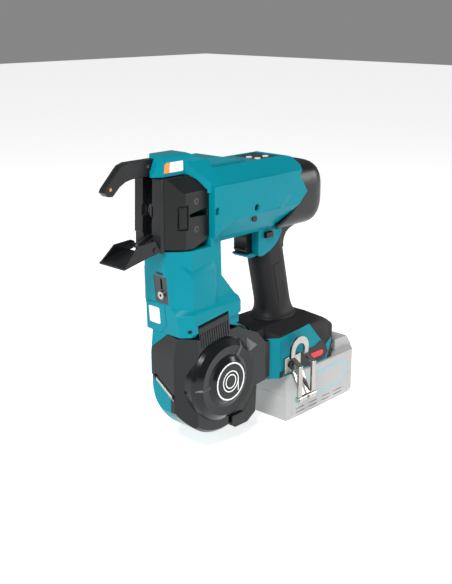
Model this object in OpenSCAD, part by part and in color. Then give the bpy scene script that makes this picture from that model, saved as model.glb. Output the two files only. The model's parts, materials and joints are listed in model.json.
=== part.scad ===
// Cordless rebar tying tool: it loops wire round crossed bars and twists the loop tight.
// X runs from the nose (negative) to the battery (positive), Y across the tool and Z up.
// The modules draw about the tool's middle plane and a datum just ahead of the trigger.

/* [Barrel] */
// Height of the twisting axis above the underside of the battery
axis_z = 264; // [262:1:268]
// Width of the barrel over its flanks
barrel_w = 72; // [68:1:80]
// Height of the flat top above the twisting axis
barrel_rise = 36; // [35:1:40]
// Depth of the underside below the twisting axis
barrel_drop = 40; // [38:1:44]
// Distance of the front shoulder ahead of the datum
shoulder = 55; // [52:1:58]
// Length of the barrel from its shoulder to its rear point
barrel_l = 144; // [142:1:150]
// Width of the flat on top
top_w = 40; // [38:1:44]
// Length of the rear cover behind the barrel's rear point
cap_l = 42; // [40:1:48]
// Width of the rear cover
cap_w = 66; // [62:1:68]
// Wall of the moulded shells
wall = 3; // [2.4:0.2:3.6]

/* [Head] */
// Length of the head ahead of the shoulder
head_l = 52; // [50:1:56]
// Width of the head over its side covers
head_w = 60; // [56:1:64]
// Width of the nose over the contact plates
nose_w = 36; // [34:1:40]
// Width of the mouth between the contact plates
mouth_w = 13; // [11:1:15]
// Height of the hood's top above the twisting axis
hood_rise = 53; // [52:1:57]
// Width of the hood
hood_w = 32; // [30:1:36]
// Reach of the curl guide ahead of the head
curl_reach = 55; // [50:1:60]
// Thickness of one plate of the curl guide
curl_plate_t = 2; // [1.5:0.25:2.5]
// Thickness of the curl guide's core
curl_core_t = 5; // [4:0.5:6]
// Reach of the lower guide ahead of the head
tray_reach = 47; // [42:1:52]
// Thickness of the lower guide's sheet
tray_t = 2; // [1.6:0.2:2.6]

/* [Column and reel] */
// Width of the column over its flanks
column_w = 64; // [60:1:68]
// Width of the column's front face halfway up
column_face = 34; // [30:1:38]
// Lean of the column's front face in degrees
column_lean = 5; // [4:0.5:6]
// Distance of the reel axis ahead of the datum
reel_ahead = 45.5; // [44:0.5:48]
// Height of the reel axis above the underside of the battery
reel_z = 86; // [84:1:88]
// Outer radius of the reel case
drum_r = 58.5; // [57:0.5:60]
// Distance of the case's closed face right of the middle plane
drum_right = 17; // [15:1:20]
// Rounding of the closed face's edge
drum_round = 22; // [18:1:22]
// Distance of the reel cover's rim left of the middle plane
rim_left = 38; // [36:1:40]
// Outer radius of the cover's dome
dome_r = 45; // [43:1:46]
// Height of the cover's dome beyond its rim
dome_h = 12; // [10:1:14]
// Tilt of the cover's hinge line in degrees
hinge_tilt = 7.4; // [4:0.2:10]
// Outer radius of the wire reel
spool_r = 42; // [40:1:43]
// Radius of the wire reel's hub
spool_hub_r = 20; // [16:1:24]
// Radius of the reel's axle
axle_r = 7; // [5:0.5:9]

/* [Handle and base] */
// Depth of the handle, front to back
handle_l = 44; // [42:1:48]
// Width of the handle
handle_w = 31; // [30:1:34]
// Thickness of the rubber round the handle
rubber_t = 3; // [2:0.25:4]
// Rake of the handle in degrees
handle_rake = 13; // [10:0.5:16]
// Width of the base
base_w = 78; // [74:1:82]
// Height of the base's underside
base_z = 58; // [56:1:60]
// Distance of the base's front face behind the datum
base_front = 33; // [31:1:36]
// Length of the base
base_l = 119; // [114:1:124]
// Travel of the trigger
trigger_travel = 6; // [4:0.5:7]
// Width of the trigger
trigger_w = 16; // [14:1:18]
// Travel of the lock button
lock_travel = 4; // [3:0.5:5]

/* [Battery] */
// Length of the battery
battery_l = 126; // [124:1:130]
// Width of the battery
battery_w = 84; // [82:1:88]
// Radius of a cell
cell_r = 10.5; // [9:0.25:10.7]
// Length of a cell
cell_l = 70; // [60:1:71]
// Width of the sliding rail's head
rail_w = 56; // [50:1:60]
// Travel of the release button
release_travel = 3; // [2:0.5:4]

/* [Drive] */
// Radius of the motor and gear ring
motor_r = 26; // [25:0.5:26.5]
// Radius of the motor shaft
shaft_r = 4; // [3:0.25:4.25]
// Radius of the twisting spindle
spindle_r = 6; // [5:0.25:6.5]
// Gear module
gear_m = 1; // [0.9:0.05:1]
// Teeth on the motor pinion
sun_teeth = 12; // [12]
// Teeth on a planet gear
planet_teeth = 15; // [15]
// Teeth on a feed gear
feed_teeth = 20; // [18:2:20]
// Radius of the feed motor
feed_motor_r = 12; // [10:0.5:12.5]

/* [Hook] */
// Distance of the belt hook's pin from the wider of the base and the battery
hook_reach = 17; // [13:1:21]
// Height of the hook's loop above its pin
hook_h = 68; // [60:1:72]
// Width of the hook's loop over its legs
hook_w = 30; // [27:1:32]
// Thickness of the hook's strip
strip_t = 2.5; // [2:0.25:3]

/* [Fits] */
// Clearance between parts that slide or swing
gap = 0.3; // [0.25:0.05:0.5]
// Radial clearance of a running shaft or pin
run = 0.05; // [0.03:0.01:0.1]
// Radius of a cover screw's shank
screw_r = 2; // [1.5:0.25:2.5]
// Radius of the lower guide's pin
pin_r = 2.5; // [2:0.25:3]
// Radius of the reel cover's hinge pin
hinge_pin_r = 1.8; // [1.4:0.2:2.2]

/* [Hidden] */
$fn = 48;

teal = [0.02, 0.55, 0.63];
charcoal = [0.2, 0.2, 0.21];
smoke = [0.13, 0.15, 0.16];
steel = [0.7, 0.71, 0.72];
copper = [0.75, 0.45, 0.25];
pale = [0.78, 0.78, 0.78];

// Barrel stations and heights
half_w = barrel_w / 2;
top_z = axis_z + barrel_rise;
under_z = axis_z - barrel_drop;
front_x = -shoulder;
apex_x = front_x + barrel_l;
cap_x = apex_x + cap_l;
crease_z = top_z - 15;
keel_z = under_z + 25;
relief = 1.6;

// Head stations and heights
mouth_x = front_x - head_l;
mouth_reach = -mouth_x;
hood_z = axis_z + hood_rise;
jaw_top = axis_z + 33;
jaw_low = axis_z - 38;
plate_lean = 3;
curl_half = curl_core_t / 2 + curl_plate_t;
curl_tip = mouth_x - curl_reach;
curl_top = hood_z - 3;
tray_x = mouth_x - tray_reach;
tray_pin_x = mouth_x - 8;
tray_pin_z = axis_z - 33;
lug_r = 4.2;
head_screw_x = front_x - 17;
head_screw_zs = [axis_z + 9, axis_z - 18];

// Screws in the left flank
flank_screw_x = 6;
flank_screw_zs = [axis_z - 8, axis_z - 20];

// Column and reel case
column_foot_z = 164;
column_face_z = 180;
column_face_x = front_x - 43;
lean_slope = tan(column_lean);

// Wire window and tube, across and up the column's front face
window_left = 3;
window_right = -15.5;
window_low = -8;
window_top = 20.5;
tube_y = -7;
tube_z = 1;
tube_r = 2.6;

// Reel case and its cover
reel_x = -reel_ahead;
yoke_z = reel_z + 54;
knuckle_out_r = 3.6;
hinge_y = -rim_left + knuckle_out_r;
hinge_x = reel_x - 12;
knuckle_half = 21.5;
hinge_z = yoke_z + 10;
part_y = -16;
part_z = reel_z + 32;
rim_y = -rim_left;
shell = wall - 0.4;
dome_in = dome_r - 2;
flap_y = 11;
flap_low = reel_z + 6.5;
flap_drop = 18;
flap_top = yoke_z - gap;
swing_room = 5;
bonnet_x = front_face_x(yoke_z) - 3;
bonnet_chamfer = 17;
skirt_z = reel_z - 12;
spool_right = drum_right - wall - 6;
spool_left = rim_y + 13;

// Handle and base
handle_x = base_front + 36.5;
handle_z = base_z + 102;
base_rear = base_front + base_l;
base_top = base_z + 50;
trigger_x = base_front - 13;
trigger_top = under_z - 1;
trigger_low = trigger_top - 24;
lock_x = base_front + 7;
lock_l = 11;
lock_z = under_z - 6;
lip_z = trigger_low - 3.5;
bay_edge = [
  [trigger_x + 20, lip_z + 0.5], [trigger_x + 29, lip_z + 3.5], [trigger_x + 37, lip_z + 8],
  [trigger_x + 43, lip_z + 13], [handle_x - 1, lip_z + 21]
];

// Battery
battery_front = base_front + 27;
battery_rear = battery_front + battery_l;
seam_z = 30;
rail_neck = rail_w - 8;
rail_z = base_z + 3;
rail_top = rail_z + 6;
hump_x = base_rear + 2;
hump_z = base_z + 14;
groove_pitch = 23.5;
groove_l = 15;

// Drive stations along the twisting axis
sun_r = gear_m * sun_teeth / 2;
planet_r = gear_m * planet_teeth / 2;
ring_teeth = sun_teeth + 2 * planet_teeth;
planet_orbit = sun_r + planet_r;
gear_x = -12;
gear_w = 11;
flange_x = gear_x + gear_w + 4;
stator_x = flange_x + 17;
stator_l = 38;
fan_x = stator_x + stator_l + 6;
fan_l = 9;
fan_r = motor_r - 3;
fan_hub_r = 9;
fan_blades = 9;
blade_t = 1.6;
tail_x = apex_x - 1;
bearing_w = 8;
bearing_r = 11;
spindle_seat_r = 13;
spindle_x = gear_x - 6;

// Feed gears
feed_r = gear_m * feed_teeth / 2;
feed_z = axis_z - 68;
feed_x = front_x - 7;
idler_x = feed_x - 2 * feed_r;
feed_half = 5;
feed_shaft_r = 2.5;
feed_journal = 6;

// Hook
flank_y = -base_w / 2;
side_reach = max(base_w, battery_w) / 2;
hook_x = base_front + 34;
hook_pin_z = base_z - 22;
hook_pin_y = -side_reach - hook_reach;
leg_w = 6;
knuckle_r = 3.6;
hook_pin_r = 2;
hook_screw_x = hook_x - 6;
hook_screw_z = base_z + 13;
leg_offset = 5;
loop_in = leg_offset + leg_w / 2 + gap;

// Buttons of the control panel
panel_x = base_front - 5;
panel_l = 36;
panel_w = top_w - 4;
panel_t = 2.5;

// The finished part stands centred on its box, so the drawing is moved by the middle of its reach
right_reach = side_reach;
left_reach = -hook_pin_y + knuckle_r;
centre_x = (curl_tip + battery_rear) / 2;
centre_y = (right_reach - left_reach) / 2;

// An outline's right half, bottom to top, closed with its mirror image
function both(half) = concat(half, [for (i = [len(half) - 1:-1:0]) [-half[i][0], half[i][1]]]);

// One involute-like gear outline with a little backlash
function gear_points(teeth, tip, root, thick) = [
  for (i = [0:teeth - 1], k = [0:3])
    let (
      pitch = gear_m * teeth / 2,
      r = (k == 0 || k == 3) ? pitch - root : pitch + tip,
      w = ((k == 0 || k == 3) ? thick * 1.35 : thick * 0.62) * 90 / (PI * pitch),
      a = i * 360 / teeth + ((k < 2) ? -w : w)
    ) [r * cos(a), r * sin(a)]
];

module side(points, y0, y1) {
  translate([0, y1, 0]) rotate([90, 0, 0]) linear_extrude(y1 - y0) polygon(points);
}

module section(points, x0, x1) {
  translate([x0, 0, 0]) rotate([90, 0, 90]) linear_extrude(x1 - x0) polygon(points);
}

module plan(points, z0, z1) {
  translate([0, 0, z0]) linear_extrude(z1 - z0) polygon(points);
}

module block(x0, x1, y0, y1, z0, z1) {
  translate([x0, y0, z0]) cube([x1 - x0, y1 - y0, z1 - z0]);
}

module rod_x(r, x0, x1, y, z) {
  translate([x0, y, z]) rotate([0, 90, 0]) cylinder(h = x1 - x0, r = r);
}

module rod_y(r, y0, y1, x, z) {
  translate([x, y1, z]) rotate([90, 0, 0]) cylinder(h = y1 - y0, r = r);
}

module ring_x(r_out, r_in, x0, x1) {
  difference() {
    rod_x(r_out, x0, x1, 0, axis_z);
    rod_x(r_in, x0 - 1, x1 + 1, 0, axis_z);
  }
}

// Turns a profile of radius and Y about the reel axis
module about_reel() {
  translate([reel_x, 0, reel_z]) rotate([-90, 0, 0]) rotate_extrude($fn = 96) children();
}

// Places a shape on the column's leaning front face: local X goes inwards and local Z up the face
module on_front() {
  translate([column_face_x, 0, column_face_z]) rotate([0, -column_lean, 0]) children();
}

// Places a shape along the hinge of the reel cover, with local X on the hinge line
module on_hinge() {
  translate([hinge_x, hinge_y, hinge_z]) rotate([0, -hinge_tilt, 0]) children();
}

module on_handle() {
  translate([handle_x, 0, handle_z]) rotate([0, -handle_rake, 0]) children();
}

module stadium(length, width) {
  square([length - width, width], center = true);
  for (s = [-1, 1]) translate([s * (length - width) / 2, 0]) circle(d = width);
}

function front_face_x(z) = column_face_x - (z - column_face_z) * lean_slope;

// Outlines of the moulded body
module barrel_body() {
  intersection() {
    side([
      [front_x, under_z], [base_front + 13, under_z], [base_front + 27, under_z + 11],
      [apex_x, axis_z - 3], [apex_x - 13, axis_z + 16], [apex_x - 7, top_z - 10],
      [apex_x - 12, top_z - 2], [apex_x - 20, top_z], [front_x, top_z]
    ], -half_w, half_w);
    section(both([
      [18, under_z], [25, under_z + 7], [half_w, keel_z], [half_w, crease_z], [top_w / 2, top_z]
    ]), front_x, apex_x + 4);
  }
}

module hood_body() {
  hood_end = front_x + 66;
  intersection() {
    side([
      [mouth_x - 3, jaw_top + 1], [mouth_x + 4, hood_z - 3], [mouth_x + 8, hood_z],
      [front_x - 11, hood_z], [front_x + 6, top_z + 9], [front_x + 28, top_z + 9],
      [hood_end, top_z + 1], [hood_end, top_z - 8], [front_x, top_z - 8], [front_x - 4, jaw_top + 1]
    ], -hood_w / 2, hood_w / 2);
    section(both([
      [hood_w / 2, top_z - 8], [hood_w / 2, hood_z - 5], [hood_w / 2 - 2, hood_z - 1.5],
        [hood_w / 2 - 6, hood_z]
    ]), mouth_x - 4, hood_end);
    plan([
      [mouth_x + 10, hood_w / 4], [mouth_x + 20, hood_w / 2], [hood_end, hood_w / 2],
      [hood_end, -hood_w / 2], [mouth_x + 5, -hood_w / 2], [mouth_x - 4, -hood_w / 4]
    ], top_z - 8, hood_z);
  }
}

// Slopes that carry the hood's sides down to the barrel's flanks, over the rear of the head covers
module shoulder_body() {
  wedge_x = front_x - 22;
  rear_x = front_x + 12;
  out_y = half_w - 1.5;
  inner = mouth_w / 2 + 5.5;
  difference() {
    intersection() {
      block(wedge_x, rear_x, -half_w, half_w, crease_z - 6, hood_z);
      plan([
        [wedge_x, hood_w / 2 - 3], [front_x + 2, out_y], [rear_x, out_y],
        [rear_x, -out_y], [front_x + 2, -out_y], [wedge_x, 3 - hood_w / 2]
      ], crease_z - 6, hood_z);
      section(both([
        [out_y, crease_z - 6], [out_y, crease_z + 2], [hood_w / 2, hood_z - 8]
      ]), wedge_x, rear_x);
    }
    for (s = [0, 1]) mirror([0, s, 0]) head_cover_solid(-gap, -gap);
    block(wedge_x - 1, front_x, -inner, inner, 0, jaw_top + gap);
  }
}

// Raised panel along each flank
module flank_panels() {
  side([
    [front_x, crease_z], [base_front + 7, crease_z], [base_front + 25, axis_z], [base_front + 19, axis_z - 4],
    [base_front + 8.5, axis_z - 13],
    [front_x + 34, axis_z - 15.6], [front_x + 11, axis_z - 23], [front_x, axis_z - 29]
  ], -half_w - relief, half_w + relief);
}

module column_body() {
  corner_x = column_face_x + 17;
  face_slope = (column_w - column_face) / 2 / 17;
  nose_y = column_face / 2 - 14 * face_slope;
  intersection() {
    side([
      [front_face_x(jaw_low), jaw_low], [front_face_x(yoke_z), yoke_z], [reel_x + 27.5, yoke_z],
      [reel_x + 27.5, column_foot_z + 4], [front_x + 15, column_foot_z + 30], [front_x + 13, keel_z],
      [front_x, keel_z], [front_x, jaw_low]
    ], -half_w - 4, half_w);
    union() {
      intersection() {
        plan([
          [column_face_x - 14, nose_y], [corner_x, column_w / 2], [0, half_w],
          [0, -half_w], [corner_x, -column_w / 2], [column_face_x - 14, -nose_y]
        ], yoke_z, keel_z);
        section(both([[column_w / 2, yoke_z], [column_w / 2, keel_z]]), mouth_x - 10, 0);
      }
      yoke_body(corner_x - 3, nose_y);
    }
  }
}

// Wider foot of the column on the hinge side, with a sloping ledge round its corner
module yoke_body(corner_x, nose_y) {
  ledge_z = column_foot_z + 8;
  cut = (corner_x - rim_left) / sqrt(2);
  intersection() {
    plan([
      [column_face_x - 14, nose_y], [corner_x + 3, column_w / 2], [0, column_w / 2], [0, rim_y],
        [column_face_x - 14, rim_y]
    ], yoke_z, ledge_z);
    section([
      [column_w / 2, yoke_z], [column_w / 2, ledge_z], [-column_w / 2, ledge_z], [rim_y,
        column_foot_z], [rim_y, yoke_z]
    ], mouth_x - 10, 0);
    rotate([0, 0, 45]) side([
      [cut, yoke_z], [cut, column_foot_z - 2], [cut + 7, ledge_z], [0, ledge_z], [0, yoke_z]
    ], -mouth_reach, mouth_reach);
  }
}

module bay_body() {
  side(concat([
    [handle_x - 1, under_z + 3], [trigger_x + 11, under_z + 3], [trigger_x + 11, trigger_low + 3],
    [trigger_x + 12.5, lip_z + 1.5], [trigger_x + 15, lip_z]
  ], bay_edge), -18, 18);
  side([
    [trigger_x + 16, lip_z], [trigger_x + 16, trigger_low - 2 * gap], [trigger_x + 2, trigger_low - 2 * gap],
    [trigger_x + 1, lip_z + 1.5], [trigger_x + 4, lip_z - 1], [trigger_x + 12, lip_z - 1]
  ], -11, 11);
}

module core_body() {
  on_handle() translate([0, 0, -handle_z + base_top])
    linear_extrude(under_z - base_top - 10) stadium(handle_l - 2 * rubber_t, handle_w - 2 * rubber_t);
}

panel_side = [
  [base_front, base_z], [base_rear - 24, base_z], [base_rear - 34, base_z + 26],
  [base_rear - 57, base_top + 1], [base_front, base_top - 3]
];

module base_plan() {
  plan([
    [base_front, -base_w / 2 + 11], [base_front + 11, -base_w / 2], [base_rear - 14, -base_w / 2],
    [base_rear, -base_w / 2 + 14], [base_rear, base_w / 2 - 14], [base_rear - 14, base_w / 2],
    [base_front + 11, base_w / 2], [base_front, base_w / 2 - 11]
  ], base_z, base_z + 80);
}

module base_body() {
  intersection() {
    side(panel_side, -base_w / 2, base_w / 2);
    base_plan();
  }
}

// Spaces inside the moulded body
module housing_spaces() {
  rod_x(motor_r + run, spindle_x, fan_x + 11, 0, axis_z);
  rod_x(shaft_r + 1, fan_x, cap_x, 0, axis_z);
  rod_x(bearing_r + run, tail_x - 1, cap_x, 0, axis_z);
  rod_x(spindle_seat_r + run, spindle_x - bearing_w, spindle_x + 1, 0, axis_z);
  rod_x(spindle_r + 2, front_x - 30, spindle_x, 0, axis_z);
  block(mouth_x - 10, front_x - 10, -curl_half - gap, curl_half + gap, jaw_top - 4, curl_top + gap);
  block(panel_x, panel_x + panel_l, -panel_w / 2, panel_w / 2, top_z - panel_t - 1, top_z + 10);
  feed_space();
  trigger_space();
  base_space();
  hinge_space();
  front_pockets();
  for (z = flank_screw_zs) {
    rod_y(screw_r + 1.6, -half_w - relief - 1, -half_w + 2.4, flank_screw_x, z);
    rod_y(screw_r, -half_w - 1, -half_w + 8, flank_screw_x, z);
  }
  for (s = [0, 1]) mirror([0, s, 0])
    block(front_x + 1, front_x + 6, half_w - 1.5, half_w + relief + 1, axis_z - 6.5, axis_z + 0.5);
}

module feed_space() {
  block(idler_x - feed_r - 3, feed_x + feed_r + 3, -feed_half, feed_half, feed_z - feed_r - 4,
    feed_z + feed_r + 4);
  rod_y(feed_motor_r + run, feed_half - 1, column_w / 2 - wall, feed_x, feed_z);
  rod_y(feed_shaft_r + run, -feed_half - feed_journal, feed_half + feed_journal, idler_x, feed_z);
  rod_y(feed_shaft_r + run, -feed_half - feed_journal, 0, feed_x, feed_z);
  translate([feed_x - feed_r, 0, yoke_z - 1]) cylinder(h = feed_z - yoke_z, r = 3);
}

module trigger_space() {
  block(trigger_x - 1, trigger_x + 30, -trigger_w / 2 - gap, trigger_w / 2 + gap, trigger_low - gap,
    trigger_top + gap);
  block(trigger_x + 27, trigger_x + 47, -9, 9, trigger_low - 4, trigger_low + 11);
  block(lock_x - gap, lock_x + lock_l + gap, -20, 20, lock_z - 3 - gap, lock_z + 3 + gap);
}

module base_space() {
  rail_end = base_rear + 10;
  block(battery_front - gap, rail_end, -rail_neck / 2 - gap, rail_neck / 2 + gap, base_z - 1, rail_z + 1);
  block(battery_front - gap, rail_end, -rail_w / 2 - gap, rail_w / 2 + gap, rail_z - gap, rail_top + 12);
  rod_y(screw_r, flank_y - 1, flank_y + 10, hook_screw_x, hook_screw_z);
}

module hinge_space() {
  on_hinge() {
    block(-60, 60, -3 * knuckle_out_r, shell - knuckle_out_r + gap, -40, -knuckle_out_r);
    block(-knuckle_half - 0.5, knuckle_half + 0.5, -3 * knuckle_out_r, knuckle_out_r + 1, -8,
      knuckle_out_r + 0.5);
    rod_x(hinge_pin_r, -40, 46, 0, 0);
  }
}

module front_pockets() {
  on_front() {
    block(-2, 2, window_right, window_left, window_low, window_top);
    block(-2, 8, window_right + 3, window_left - 5, window_low + 3, window_top - 3);
    section(front_panel, -2, 2);
  }
}

// Outline of the panel on the column's front, across and up the face
front_panel = [[15.5, -9], [-9.5, -9], [-9.5, -32], [15.5, -55]];

module housing() {
  difference() {
    union() {
      barrel_body();
      flank_panels();
      hood_body();
      shoulder_body();
      column_body();
      bay_body();
      core_body();
      base_body();
    }
    housing_spaces();
  }
}

module left_housing() {
  color(teal) intersection() {
    housing();
    block(-300, 300, -100, 0, 0, 400);
  }
}

module right_housing() {
  color(teal) intersection() {
    housing();
    block(-300, 300, 0, 100, 0, 400);
  }
}

module rear_cover() {
  round_r = 20;
  color(charcoal) difference() {
    intersection() {
      side([
        [handle_x - 1, under_z], [base_front + 13, under_z], [base_front + 27, under_z + 11],
        [apex_x, axis_z - 3], [apex_x - 13, axis_z + 16], [apex_x - 7, top_z - 10],
        [apex_x + 8, top_z - 9], [cap_x - 18, axis_z + 25], [cap_x - 8, axis_z + 19], [cap_x - 2, axis_z + 8],
        [cap_x, axis_z - 4], [cap_x - 2, axis_z - 24], [cap_x - 10, axis_z - 36],
        [cap_x - 28, under_z - 3], [cap_x - 52, under_z - 4], [handle_x - 1, under_z - 4]
      ], -cap_w / 2, cap_w / 2);
      section(both([
        [18, under_z - 14], [22, under_z - 4], [29, under_z + 8], [cap_w / 2, keel_z - 4], [cap_w / 2,
          crease_z - 12],
        [cap_w / 2 - 3, crease_z - 4], [cap_w / 2 - 9, crease_z + 2], [16, top_z - 10], [8, top_z - 9]
      ]), 0, cap_x);
      translate([0, 0, under_z - 20]) linear_extrude(barrel_rise + barrel_drop + 20) {
        translate([0, -cap_w / 2]) square([cap_x - round_r, cap_w]);
        translate([0, -cap_w / 2 + round_r]) square([cap_x, cap_w - 2 * round_r]);
        for (s = [-1, 1]) translate([cap_x - round_r, s * (cap_w / 2 - round_r)]) circle(r = round_r);
      }
    }
    rod_x(motor_r + run, 0, fan_x + 11, 0, axis_z);
    rod_x(shaft_r + 1, fan_x, tail_x, 0, axis_z);
    rod_x(bearing_r + run, tail_x - 1, tail_x + bearing_w, 0, axis_z);
    rod_x(shaft_r + 1, tail_x, tail_x + bearing_w + 4, 0, axis_z);
    bay_body();
  }
}

module handle_grip() {
  top = under_z - handle_z + 6;
  color(charcoal) difference() {
    on_handle() translate([0, 0, base_top - handle_z - 4])
      linear_extrude(top - base_top + handle_z) stadium(handle_l, handle_w);
    core_body();
    bay_body();
    grip_limits();
  }
}

// The grip stops under the barrel, the trigger bay and the rear cover, and on top of the base
module grip_limits() {
  side(concat([[trigger_x - 20, lip_z]], bay_edge, [
    [handle_x - 1, under_z - 4], [cap_x, under_z - 4], [cap_x, top_z], [trigger_x - 20, top_z]
  ]), -40, 40);
  trigger_space();
  block(0, 200, -50, 50, 0, base_top + 22);
}

module base_grip() {
  color(charcoal) difference() {
    intersection() {
      side([
        [base_front, base_top - 3], [base_rear - 57, base_top + 1], [base_rear - 34, base_z + 26],
        [base_rear - 24, base_z], [base_rear - 6, base_z], [base_rear, base_z + 14], [base_rear, base_z + 26],
        [base_rear - 5, base_z + 36], [base_rear - 16, base_z + 45], [base_rear - 40, base_top + 8],
        [base_rear - 47, base_top + 12], [base_rear - 51, base_top + 17], [base_rear - 53, base_top + 22],
        [base_front + 20, base_top + 22], [base_front + 17, base_top + 16], [base_front + 11, base_top + 12],
        [base_front - 14, base_top + 8], [base_front - 14, base_top - 3]
      ], -base_w / 2, base_w / 2);
      union() {
        base_plan();
        block(base_front - 14, base_front, -base_w / 2 + 13, 26, base_z, base_top + 30);
      }
      section(both([
        [base_w / 2, base_z], [base_w / 2, base_top], [handle_w / 2 + 9, base_top + 9],
        [handle_w / 2 + 4, base_top + 13], [handle_w / 2 + 1, base_top + 17], [handle_w / 2, base_top + 22]
      ]), base_front - 14, base_rear);
    }
    core_body();
    base_space();
  }
}

module head_frame() {
  cheek_in = mouth_w / 2 + 1.5;
  cheek_out = cheek_in + 3;
  lug_in = mouth_w / 2 - 3.3;
  lug_out = mouth_w / 2 - gap;
  web_z = tray_pin_z + 9;
  color(steel) difference() {
    union() {
      for (s = [0, 1]) mirror([0, s, 0]) {
        block(mouth_x + 4, front_x, cheek_in, cheek_out, jaw_low + 6, jaw_top - 5);
        side([
          [tray_pin_x, tray_pin_z - lug_r], [mouth_x + 8, tray_pin_z - lug_r], [mouth_x + 8, web_z],
          [mouth_x + 4, web_z], [tray_pin_x, tray_pin_z + lug_r]
        ], lug_in, lug_out);
        rod_y(lug_r, lug_in, lug_out, tray_pin_x, tray_pin_z);
        block(mouth_x + 4, mouth_x + 8, lug_in, cheek_out, tray_pin_z - lug_r, web_z);
        for (z = head_screw_zs) rod_y(screw_r + 3, cheek_out, head_w / 2 - wall, head_screw_x, z);
      }
      block(front_x - 5, front_x, -cheek_out, cheek_out, jaw_low + 6, jaw_top - 5);
    }
    rod_x(spindle_r + 2, front_x - 10, front_x + 1, 0, axis_z);
    rod_y(pin_r, -cheek_out - 1, cheek_out + 1, tray_pin_x, tray_pin_z);
    for (z = head_screw_zs) rod_y(screw_r, -head_w, head_w, head_screw_x, z);
  }
}

module head_cover_solid(inset, roof) {
  ridge = nose_w / 2 - inset;
  flank = head_w / 2 - inset;
  inner = mouth_w / 2 + 4.5;
  intersection() {
    plan([
      [mouth_x + 4 + inset, inner], [mouth_x + 4 + inset, ridge], [mouth_x + 20 + inset / 2, flank],
      [front_x, flank], [front_x, inner]
    ], jaw_low, jaw_top + 2);
    side([
      [mouth_x, jaw_low + 3 + inset], [front_x - 21, jaw_low + 1 + inset], [front_x - 8, jaw_low + 6 + inset],
      [front_x, jaw_low + 11 + inset], [front_x, crease_z - roof], [front_x - 17, jaw_top - roof],
      [mouth_x, jaw_top - roof]
    ], 0, head_w);
    section([
      [0, jaw_low], [flank, jaw_low], [flank, axis_z + 18 - inset / 2], [flank - 10, jaw_top - roof],
        [0, jaw_top - roof]
    ], mouth_x, front_x);
  }
}

module head_cover() {
  slot_x = mouth_x + 26;
  difference() {
    head_cover_solid(0, 0);
    head_cover_solid(wall, wall);
    for (z = head_screw_zs) {
      rod_y(screw_r + 0.2, 0, head_w, head_screw_x, z);
      rod_y(screw_r + 1.6, head_w / 2 - 1.4, head_w, head_screw_x, z);
    }
    side([
      [front_x - 3, axis_z - 6], [front_x - 3, axis_z + 1], [slot_x, axis_z - 2.5], [slot_x, axis_z - 5]
    ], head_w / 2 - wall - 1, head_w);
    difference() {
      block(mouth_x + 14, slot_x - 2, 0, head_w, axis_z - 17, axis_z + 7);
      block(mouth_x + 16, slot_x - 3.5, 0, head_w, axis_z - 15, axis_z + 5);
      head_cover_solid(0.65 * wall, 0);
    }
    difference() {
      block(mouth_x + 15, slot_x - 2.5, 0, head_w, axis_z - 16, axis_z + 6);
      head_cover_solid(0.25 * wall, 0);
    }
  }
}

module right_head_cover() {
  color(charcoal) head_cover();
}

module left_head_cover() {
  color(charcoal) mirror([0, 1, 0]) head_cover();
}

module contact_plate() {
  step_z = tray_pin_z + 12;
  step_lean = plate_lean * (jaw_top - step_z) / (jaw_top - jaw_low);
  difference() {
    side([
      [mouth_x, jaw_top], [mouth_x + 4, jaw_top], [mouth_x + 4, jaw_low], [mouth_x - 1.5, jaw_low],
      [mouth_x - 1, step_z], [mouth_x - step_lean, step_z]
    ], mouth_w / 2, nose_w / 2);
    side([
      [mouth_x - 4, axis_z - 4], [mouth_x + 5, axis_z - 4], [mouth_x + 5, axis_z + 6], [mouth_x - 4, axis_z + 6]
    ], mouth_w / 2 - 1, mouth_w / 2 + 1.5);
  }
}

module right_contact_plate() {
  color(charcoal) contact_plate();
}

module left_contact_plate() {
  color(charcoal) mirror([0, 1, 0]) contact_plate();
}

module head_screws() {
  color(steel) for (s = [-1, 1], z = head_screw_zs) mirror([0, s < 0 ? 1 : 0, 0]) difference() {
    union() {
      rod_y(screw_r + 1.4, head_w / 2 - 1.4, head_w / 2 - 0.2, head_screw_x, z);
      rod_y(screw_r - run, mouth_w / 2 + 5, head_w / 2 - 1, head_screw_x, z);
    }
    translate([head_screw_x, head_w / 2 - 0.9, z]) rotate([-90, 0, 0]) cylinder(h = 2, r = 1.4, $fn = 6);
  }
}

// Side outline of the curl guide, with its inner edge lifted where the core leaves a groove for the wire
module curl_outline(lift) {
  root_x = front_x - 25;
  polygon([
    [root_x, curl_top], [curl_tip + 28, curl_top], [curl_tip + 21, curl_top - 2], [curl_tip + 17,
      curl_top - 5.5],
    [curl_tip + 1.5, curl_top - 21], [curl_tip, curl_top - 24], [curl_tip + 4, curl_top - 28],
    [curl_tip + 9 - lift, curl_top - 28.5], [curl_tip + 11.5 - lift, curl_top - 26.5 + lift],
    [curl_tip + 18, curl_top - 20.5 + lift], [curl_tip + 25, curl_top - 17 + lift],
    [curl_tip + 33, curl_top - 15.5 + lift], [mouth_x - 4, curl_top - 15.5 + lift],
    [mouth_x + 1, jaw_top + 1.5], [root_x, jaw_top + 1.5]
  ]);
}

rivet_r = 1.1;
rivet_spots = [[curl_tip + 6.5, curl_top - 21.5], [mouth_x - 3, curl_top - 6]];

module curl_layer(y0, y1, lift) {
  difference() {
    translate([0, y1, 0]) rotate([90, 0, 0]) linear_extrude(y1 - y0) curl_outline(lift);
    for (p = rivet_spots) rod_y(rivet_r + run, y0 - 1, y1 + 1, p[0], p[1]);
  }
}

module curl_guide_core() {
  color(charcoal) curl_layer(-curl_core_t / 2, curl_core_t / 2, 2);
}

module right_curl_plate() {
  color(charcoal) curl_layer(curl_core_t / 2, curl_half, 0);
}

module left_curl_plate() {
  color(charcoal) curl_layer(-curl_half, -curl_core_t / 2, 0);
}

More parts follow.
